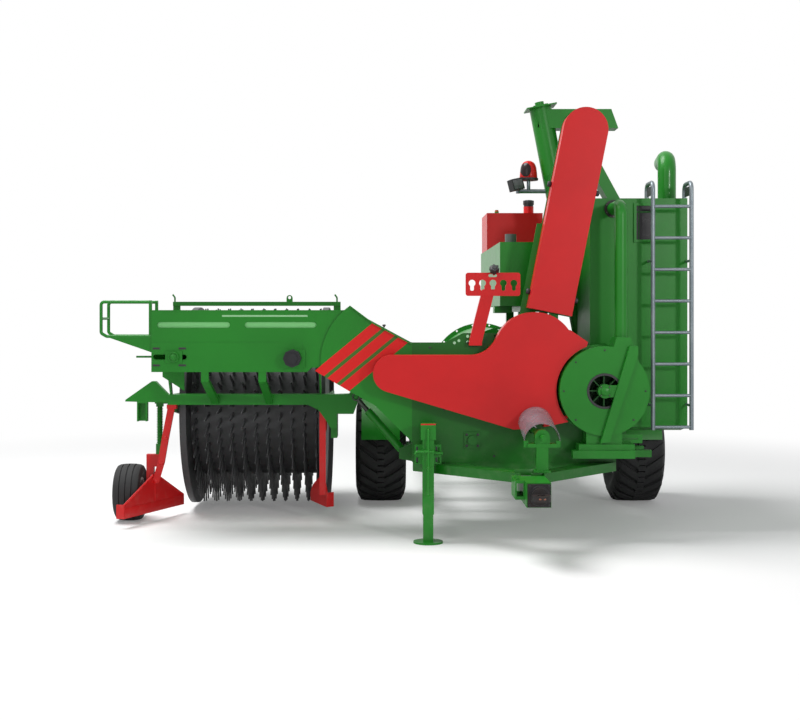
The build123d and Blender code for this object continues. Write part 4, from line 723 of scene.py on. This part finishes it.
guardKnobs = {
    "places": [(-10.9, 1682.8, -1), (281.5, 1625.0, 1), (132.7, 2408.8, -1), (425.1, 2351.0, 1)],
        "y": -1830.0,
    "across": (0.98101, 0.0, -0.19397), "profile": [(3, 0), (3, 17.5), (9, 20), (22, 20), (29, 16),
        (31, 0)],
}
knobs = []
for x, z, side in guardKnobs["places"]:
    axis = [value * side for value in guardKnobs["across"]]
    knobs.append(turnedPiece(guardKnobs["profile"], (x, guardKnobs["y"], z), axis, 20))
knobs.append(turnedPiece([(-14, 0), (-14, 14), (-8, 17), (8, 17), (13, 12), (14, 0)], (172, -1862, 836),
    (1, 0, 0.2), 20))
together("guard_knobs", knobs, "chassis", blackPlastic)
together("guard_knob_stub", [softEdges(block((186, -1868, 826), (236, -1856, 846)), 3)], "chassis", red)

hoseKnob = {"x": -256.0, "face": -1800.0}
face = hoseKnob["face"]
together("hose_board_knob", [
    lobedHead((hoseKnob["x"], face - 47, 1847), (hoseKnob["x"], face - 22, 1822), 26.5, 34, 6),
    bar((hoseKnob["x"], face - 30, 1830), (hoseKnob["x"], face - 6, 1806), 15, 20, 11),
    bar((hoseKnob["x"], face - 46, 1846), (hoseKnob["x"], face - 50, 1850), 18, 20, 14),
], "chassis", blackPlastic)

waterCap = {"x": 148.0, "y": -300.0, "low": 2387.0}
together("water_tank_cap", [
    lobedHead((waterCap["x"], waterCap["y"], waterCap["low"] + 16),
        (waterCap["x"], waterCap["y"], waterCap["low"] + 50), 37.5, 43, 8),
    turnedPiece([(0, 36.2), (0, 38.5), (17, 38.5), (17, 36.2), (0, 36.2)],
        (waterCap["x"], waterCap["y"], waterCap["low"]), (0, 0, 1), 32),
    bar((waterCap["x"], waterCap["y"], waterCap["low"] + 48),
        (waterCap["x"], waterCap["y"], waterCap["low"] + 53), 30, 32, 26),
], "chassis", blackPlastic)
together("water_tank_nub", [turnedPiece([(-1, 0), (-1, 17), (14, 17), (17, 12), (27, 12), (29, 0)],
    (-110, -340, 2331), (0, 0, 1), 20)], "chassis", green)

beaconLook = {
    "centre": (87.0, -840.0, 2541.0), "base": [(-0.5, 0), (-0.5, 72), (4, 73), (15, 73), (17, 70), (17, 0)],
    "dome": [(17, 0), (17, 66), (22, 67.5), (60, 64), (98, 59), (122, 50), (138, 36), (147, 18), (150, 0)],
    "reflector": (-26.0, 76.0, 40.0, 56.0),
}


def beaconLens():
    # A red lens with the dark reflector that shows through it, as an oval on its front.
    material, tree, shader = startMaterial("beaconLens")
    place = tree.nodes.new("ShaderNodeTexCoord").outputs["Object"]
    split = tree.nodes.new("ShaderNodeSeparateXYZ")
    tree.links.new(place, split.inputs[0])
    x, up, wide, tall = beaconLook["reflector"]
    middle = at(beaconLook["centre"][0] + x, beaconLook["centre"][1], beaconLook["centre"][2] + up)
    acrossX = mathNode(tree, "DIVIDE", mathNode(tree, "SUBTRACT", split.outputs["X"], middle.x),
        wide / 1000)
    acrossZ = mathNode(tree, "DIVIDE", mathNode(tree, "SUBTRACT", split.outputs["Z"], middle.z),
        tall / 1000)
    reach = mathNode(tree, "ADD", mathNode(tree, "MULTIPLY", acrossX, acrossX),
        mathNode(tree, "MULTIPLY", acrossZ, acrossZ))
    oval = mathNode(tree, "MULTIPLY", rangeNode(tree, reach, 0.85, 1.0, 1.0, 0.0),
                    mathNode(tree, "LESS_THAN", split.outputs["Y"], middle.y))
    haze = noiseNode(tree, place, 30, 3, 0.5)
    redLens = mixNode(tree, haze, sRgb(196, 20, 20), sRgb(226, 34, 30))
    tree.links.new(mixNode(tree, oval, redLens, sRgb(34, 16, 18)), shader.inputs["Base Color"])
    tree.links.new(rangeNode(tree, haze, 0.3, 0.7, 0.22, 0.3), shader.inputs["Roughness"])
    shader.inputs["Specular IOR Level"].default_value = 0.25
    return material


beaconRed = beaconLens()
dome = together("beacon_dome", [turnedPiece(beaconLook["dome"], beaconLook["centre"], (0, 0, 1), 48)],
    "chassis", beaconRed, 60)
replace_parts(dome, "beacon")
together("beacon_base", [turnedPiece(beaconLook["base"], beaconLook["centre"], (0, 0, 1), 48)], "chassis",
    blackPlastic)

lampLook = {"centre": (-16.0, -924.0, 2500.0), "turn": (0, -14, 24)}
lens = block((-39, -36, -35), (39, -30, 35))
ribs = [block((x - 1.2, -37.5, -34), (x + 1.2, -35, 34)) for x in (-26, -13, 0, 13, 26)]
lampTurn = Matrix.Translation(at(*lampLook["centre"])) @ (
    Matrix.Rotation(radians(lampLook["turn"][0]), 4, "X") @ Matrix.Rotation(radians(lampLook["turn"][1]),
        4, "Y")
    @ Matrix.Rotation(radians(lampLook["turn"][2]), 4, "Z")) @ Matrix.Translation(-shift)
for part in [lens] + ribs:
    part.data.transform(lampTurn)
together("work_lamp_lens", [softEdges(lens, 3)] + ribs, "chassis", lensGlass)

# Jack crank, its cap line, and black marks painted as the shade in the clamp slots
jackLook = {"x": -706.0, "front": -1965.0, "slotsX": (-780, -649), "slotsZ": (551, 625)}
crankY = jackLook["front"] - 26
crank = bentBar([(jackLook["x"], jackLook["front"] + 2, 762), (jackLook["x"], crankY, 762),
    (jackLook["x"], crankY, 330), (jackLook["x"], crankY - 52, 322)], 8, 22, 5)
grip = bentBar([(jackLook["x"] - 92, crankY, 600), (jackLook["x"] - 80, crankY, 618),
    (jackLook["x"] + 38, crankY, 618)], 8, 10, 4)
eye = turnedPiece([(-9, 0), (-9, 9), (-5, 13), (5, 13), (9, 9), (9, 0)], (jackLook["x"], crankY, 503),
    (0, 0, 1), 24)
together("jack_crank", [crank, grip, eye], "chassis", green)
together("jack_cap_line", [softEdges(block((jackLook["x"] - 50, jackLook["front"] - 1.5, 792),
    (jackLook["x"] + 50, jackLook["front"] + 1, 801.5)), 1)], "chassis", red)
slots = [softEdges(block((x - 6, -1878, z - 15), (x + 6, -1876, z + 15)), 0.9)
         for x in jackLook["slotsX"] for z in jackLook["slotsZ"]]
together("jack_clamp_slot_shade", slots, "chassis", blackPlastic)

# Window straps, pipe flange, ladder grips
straps = [softEdges(block((764, -1548, 2240), (866, -1539, 2252)), 2),
    softEdges(block((776, -1546, 2054), (783, -1540, 2288)), 2)]
together("window_straps", straps, "chassis", paintedShadeGreen)
pipeLook = {"centre": (600, -1552, 2268), "boltRing": 52}
pipeFlange = turnedPiece([(0, 43.5), (0, 62), (9, 62), (9, 43.5), (0, 43.5)], pipeLook["centre"],
    (0, 1, 0), 40)
flangeX, flangeY, flangeZ = pipeLook["centre"]
flangeBolts = boltsAt([(flangeX + pipeLook["boltRing"] * cos(radians(a)), flangeY,
                        flangeZ + pipeLook["boltRing"] * sin(radians(a))) for a in range(30, 390, 60)],
                      (0, -1, 0), 9, 5)
together("pipe_flange", [pipeFlange], "chassis", castIron)
together("pipe_flange_bolts", flangeBolts, "chassis", boltSteel)
grips = []
for x in (848.0, 1113.0):
    grips.append(softEdges(block((x - 4, -1668, 2352), (x + 4, -1505, 2418)), 4))
together("ladder_grips", grips, "chassis", blackPlastic)

# Fan inlet rim and the bearing's flange
fanRim = {"centre": (473.0, -1940.0, 1017.0), "profile": [(-4, 104), (-4, 118), (1, 120), (6, 118),
    (6, 104), (-4, 104)]}
together("fan_inlet_rim", [turnedPiece(fanRim["profile"], fanRim["centre"], (0, 1, 0), 64)], "chassis",
    blackPlastic)
bearingCap = [turnedPiece([(-38, 0), (-38, 22), (-34, 28), (-24, 30), (-21, 38), (-20, 38), (-20, 0)],
    fanRim["centre"], (0, 1, 0), 40)]
together("fan_bearing_cap", bearingCap, "chassis", green)
bearingBolts = {"x": 473, "face": -1961, "z": 1017, "ring": 40, "angles": (45, 135, 225, 315)}
bolts = boltsAt([(bearingBolts["x"] + bearingBolts["ring"] * cos(radians(a)), bearingBolts["face"],
    bearingBolts["z"] + bearingBolts["ring"] * sin(radians(a))) for a in bearingBolts["angles"]],
    (0, -1, 0), 9, 5)
together("fan_bearing_bolts", bolts, "chassis", boltSteel)

# Drawbar gusset under the shaft's stand, and two pins on the chute's edge
gusset = [softEdges(block((-168, -2310, 500), (-46, -2302, 542)), 2),
    softEdges(block((-60, -2311, 490), (22, -2303, 519)), 2)]
together("drawbar_gusset", gusset, "chassis", shadedBodyGreen)
pins = [turnedPiece([(-12, 0), (-12, 6), (-2, 7), (-2, 12), (6, 12), (9, 8), (9, 0)], place, (0, 0, 1), 20)
        for place in ((-688, -1732, 1300), (-1002, -1732, 1452))]
together("chute_edge_pins", pins, "chassis", blackPlastic)

# Belt tensioner, black marks painted as the shade in its slots, and pale boards behind the panel's long
# slots painted with the light on the inner wall
panelLook = {"face": -1725.3, "tension": (-2442.0, 1237.0)}
x, z = panelLook["tension"]
face = panelLook["face"]
nut = [bar((x, face - 20, z), (x, face - 34, z), 23, 6), bar((x, face - 33, z), (x, face - 46, z), 13, 20)]
nut.append(turnedPiece([(-26, 30), (-26, 37), (-20, 38), (-20, 30), (-26, 30)], (x, face, z), (0, 1, 0),
    32))
together("belt_tension_nut", [softEdges(part, 1.5) for part in nut], "pickup", green)
# Black marks painted as the shade inside the tensioner's slots.
marks = [softEdges(block((low, face - 1.2, height - 7), (high, face + 1, height + 7)), 0.9)
         for low, high in ((-2588, -2538), (-2410, -2359)) for height in (1180, 1296)]
together("belt_tension_slot_shade", marks, "pickup", blackPlastic)
# Pale green boards: painted light where the lit inner wall shows through the long slots.
boards = [softEdges(block((low, -1714, 1433), (high, -1711, 1481)), 1) for low,
    high in ((-2562, -2056), (-1962, -1464))]
together("slot_painted_light_boards", boards, "pickup", paintedLightGreen)

# Screw thread of the gauge wheel, with its nut
thread = {"x": -2670.0, "y": -1000.0, "low": 560.0, "high": 842.0, "pitch": 12.0, "core": 17.0,
    "crest": 24.0}
profile = [(0, thread["core"])]
steps = int((thread["high"] - thread["low"]) / thread["pitch"])
for step in range(steps):
    foot = step * thread["pitch"]
    profile += [(foot + 1.5, thread["core"]), (foot + 4.5, thread["crest"]),
        (foot + 7.5, thread["crest"]), (foot + 10.5, thread["core"])]
profile.append((steps * thread["pitch"], thread["core"]))
together("gauge_screw_thread", [turnedPiece(profile, (thread["x"], thread["y"], thread["low"]), (0, 0, 1),
    24)], "pickup", green, 25)

# Folds of the left shoe
shoeLook = {"start": (-2855.0, -1390.0), "end": (-2541.0, -690.0), "floor": 71.0, "fold": 146.0,
    "off": -3.0}
run = Vector((shoeLook["end"][0] - shoeLook["start"][0], shoeLook["end"][1] - shoeLook["start"][1], 0))
shoeTurn = (Matrix.Translation(at(shoeLook["start"][0], shoeLook["start"][1], 0))
            @ Matrix.Rotation(atan2(run.y, run.x), 4, "Z") @ Matrix.Translation(-shift))
strip = softEdges(block((6, shoeLook["off"], shoeLook["floor"] + 1),
    (run.length - 6, 1, shoeLook["fold"])), 2.4, 2)
seam = softEdges(block((0.5 * run.length - 3, shoeLook["off"], shoeLook["fold"] + 4),
    (0.5 * run.length + 3, 1, 318)), 1.4)
edges = []
for (a, low), (b, high) in (((0.02, 172), (0.46, 342)), ((0.54, 342), (0.98, 153))):
    edges.append(bar((a * run.length, 0, low - 5), (b * run.length, 0, high - 5), 4.5, 12))
for part in [strip, seam] + edges:
    part.data.transform(shoeTurn)
together("shoe_left_folds", [strip, seam] + edges, "pickup", red)

# Drawbar head: a rim on the black face, and a copper bar in the swivel painted as a glint
headLook = {"x": -57.0, "z": 430.0, "face": -2711.0}
x, z, face = headLook["x"], headLook["z"], headLook["face"]
rim = [turnedPiece([(-7, 52.5), (-7, 60), (0, 62), (0, 52.5), (-7, 52.5)], (x, face, z), (0, 1, 0), 48)]
rim += boltsAt([(x + 58 * a, face, z + 58 * b) for a in (-1, 1) for b in (-1, 1)], (0, -1, 0), 13, 6)
together("drawbar_head_rim", rim, "chassis", blackPlastic)
glint = softEdges(block((x - 21, -2869.5, z - 3), (x + 21, -2860, z + 6)), 1.5)
together("drawbar_head_glint", [glint], "chassis", paintedGlint)
stackBolts = boltsAt([(hole, depth, 509) for hole in (-172,) for depth in (-2560, -2500, -2440)],
    (0, 0, 1), 18, 12)
together("drawbar_stack_bolts", stackBolts, "chassis", green)
print("stage: small fittings")


# Tined drum: barrel, end discs and rows of blades; every other row is turned by half a step
drumLook = {
    "y": -290.0, "z": 809.0, "left": -2517.0, "right": -1440.0, "rim": 50.0, "discRadius": 775.0,
        "barrel": 545.0,
    "rows": 11, "firstRow": -2422.0, "rowPitch": 91.0, "perRow": 42, "tip": 767.0, "root": 540.0,
        "base": 19.0, "thick": 6.5,
    "end": 7.0, "lean": -14.0,
}


def drumBlade():
    # A tapered blade that stands out towards the front, with a blunt tip.
    plan = drumLook
    dropSelection()
    bpy.ops.mesh.primitive_cube_add(size=2)
    piece = bpy.context.object
    for vertex in piece.data.vertices:
        outer = vertex.co.y < 0
        half = plan["end"] if outer else plan["base"]
        slim = 0.8 if outer else 1.0
        vertex.co = (vertex.co.x * plan["thick"] * slim / 1000,
            -(plan["tip"] if outer else plan["root"]) / 1000,
            (vertex.co.z * half + (plan["lean"] if outer else 0)) / 1000)
    return softEdges(piece, 2.0, 1)


def tinedDrum():
    plan = drumLook
    inner = plan["barrel"]
    left, right, rim = plan["left"], plan["right"], plan["rim"]
    centre = (0, plan["y"], plan["z"])
    barrel = turnedPiece([(left + rim - 10, inner - 8), (left + rim - 10, inner),
        (right - rim + 10, inner), (right - rim + 10, inner - 8), (left + rim - 10, inner - 8)], centre,
        (1, 0, 0), 96)
    parts = [barrel]
    out = plan["discRadius"]
    for low, web in ((left, left + rim - 14), (right - rim, right - rim)):
        parts.append(turnedPiece([(low + 1, out - 10), (low, out - 8), (low, out - 2), (low + 2, out),
            (low + rim - 2, out), (low + rim, out - 2), (low + rim, out - 8), (low + rim - 1, out - 10),
            (low + 1, out - 10)], centre, (1, 0, 0), 96))
        parts.append(turnedPiece([(web, 28), (web, out - 8), (web + 14, out - 8), (web + 14, 28),
            (web, 28)], centre, (1, 0, 0), 96))
    model = drumBlade()
    for row in range(plan["rows"]):
        x = plan["firstRow"] + row * plan["rowPitch"]
        move = Matrix.Translation(at(x, plan["y"], plan["z"]))
        for step in range(plan["perRow"]):
            turn = 2 * pi * (step + 0.5 * (row % 2)) / plan["perRow"]
            parts.append(copyOf(model, move @ Matrix.Rotation(turn, 4, "X")))
    bpy.data.objects.remove(model)
    return together("bladed_drum", parts, "tined_drum", drumPaint, 30)


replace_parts(tinedDrum(), "pickup_drum")
hubs = []
for low, high in ((drumLook["left"] - 40, drumLook["left"] + 60),
    (drumLook["right"] - 60, drumLook["right"] + 40)):
    hubs.append(bar((low, drumLook["y"], drumLook["z"]), (high, drumLook["y"], drumLook["z"]), 30, 32))
together("drum_shaft_ends", hubs, "tined_drum", tinePaint)
print("stage: tined drum")

# Camera, lights, floor
view = {"place": (-975.0, -10290.0, 1539.0), "lens": 56.25, "shiftX": 0.015, "shiftY": -0.05875}
cameraData = bpy.data.cameras.new("camera")
cameraData.lens = view["lens"]
cameraData.sensor_width = 36
cameraData.shift_x = view["shiftX"]
cameraData.shift_y = view["shiftY"]
camera = bpy.data.objects.new("camera", cameraData)
camera.location = at(*view["place"])
camera.rotation_euler = (radians(90), 0, 0)
bpy.context.scene.collection.objects.link(camera)
bpy.context.scene.camera = camera

lamps = {
    "key": {"place": (-3.5, -0.5, 9.5), "size": 6.0, "power": 900.0},
    "front": {"place": (-4.5, -9.5, 5.5), "size": 5.0, "power": 110.0},
    "frontRight": {"place": (5.6, -10.4, 3.6), "size": 0.9, "power": 230.0},
}
for lampName, lamp in lamps.items():
    lampData = bpy.data.lights.new(lampName, "AREA")
    lampData.shape = "DISK"
    lampData.size = lamp["size"]
    lampData.energy = lamp["power"]
    lampPiece = bpy.data.objects.new(lampName, lampData)
    lampPiece.location = lamp["place"]
    lampPiece.rotation_euler = (Vector((0, 0, 1.2)) - Vector(lamp["place"])).to_track_quat("-Z",
        "Y").to_euler()
    bpy.context.scene.collection.objects.link(lampPiece)


def paleWorld(strength):
    world = bpy.data.worlds.new("studio")
    world.use_nodes = True
    bpy.context.scene.world = world
    tree = world.node_tree
    tree.nodes.clear()
    out = tree.nodes.new("ShaderNodeOutputWorld")
    paths = tree.nodes.new("ShaderNodeLightPath")
    seen = mathNode(tree, "MAXIMUM", paths.outputs["Is Camera Ray"],
        mathNode(tree, "MAXIMUM", paths.outputs["Is Glossy Ray"], paths.outputs["Is Transmission Ray"]))
    lit = tree.nodes.new("ShaderNodeBackground")
    lit.inputs["Color"].default_value = (0.97, 0.985, 1.0, 1)
    lit.inputs["Strength"].default_value = strength
    white = tree.nodes.new("ShaderNodeBackground")
    white.inputs["Color"].default_value = (1, 1, 1, 1)
    white.inputs["Strength"].default_value = 1.0
    mix = tree.nodes.new("ShaderNodeMixShader")
    tree.links.new(seen, mix.inputs[0])
    tree.links.new(lit.outputs[0], mix.inputs[1])
    tree.links.new(white.outputs[0], mix.inputs[2])
    tree.links.new(mix.outputs[0], out.inputs[0])


paleWorld(0.3)

dropSelection()
bpy.ops.mesh.primitive_plane_add(size=60, location=(0, 0, -0.0005))
floor = bpy.context.object
floor.name = "floor"
floorMaterial, floorTree, floorShader = startMaterial("paleFloor")
floorShader.inputs["Base Color"].default_value = (0.86, 0.86, 0.86, 1)
floorShader.inputs["Roughness"].default_value = 0.9
floorShader.inputs["Specular IOR Level"].default_value = 0.1


def paleFloorForCamera(tree, shader):
    # Seen directly, the floor is its own light plus a white lift, and it fades to white far out.
    out = tree.nodes["Material Output"]
    lift = tree.nodes.new("ShaderNodeEmission")
    lift.inputs["Strength"].default_value = floorLook["lift"]
    both = tree.nodes.new("ShaderNodeAddShader")
    tree.links.new(shader.outputs[0], both.inputs[0])
    tree.links.new(lift.outputs[0], both.inputs[1])
    white = tree.nodes.new("ShaderNodeEmission")
    white.inputs["Strength"].default_value = 1.0
    away = tree.nodes.new("ShaderNodeVectorMath")
    away.operation = "LENGTH"
    tree.links.new(tree.nodes.new("ShaderNodeTexCoord").outputs["Object"], away.inputs[0])
    far = rangeNode(tree, away.outputs["Value"], floorLook["near"], floorLook["far"], 0.0, 1.0)
    fade = tree.nodes.new("ShaderNodeMixShader")
    tree.links.new(far, fade.inputs[0])
    tree.links.new(both.outputs[0], fade.inputs[1])
    tree.links.new(white.outputs[0], fade.inputs[2])
    paths = tree.nodes.new("ShaderNodeLightPath")
    seen = mathNode(tree, "MAXIMUM", paths.outputs["Is Camera Ray"], paths.outputs["Is Transmission Ray"])
    mix = tree.nodes.new("ShaderNodeMixShader")
    tree.links.new(seen, mix.inputs[0])
    tree.links.new(shader.outputs[0], mix.inputs[1])
    tree.links.new(fade.outputs[0], mix.inputs[2])
    tree.links.new(mix.outputs[0], out.inputs["Surface"])


floorLook = {"lift": 0.15, "near": 3.6, "far": 7.5}
paleFloorForCamera(floorTree, floorShader)
floor.data.materials.append(floorMaterial)
print("stage: camera, lamps and floor")

bpy.context.scene.view_settings.view_transform = "Standard"
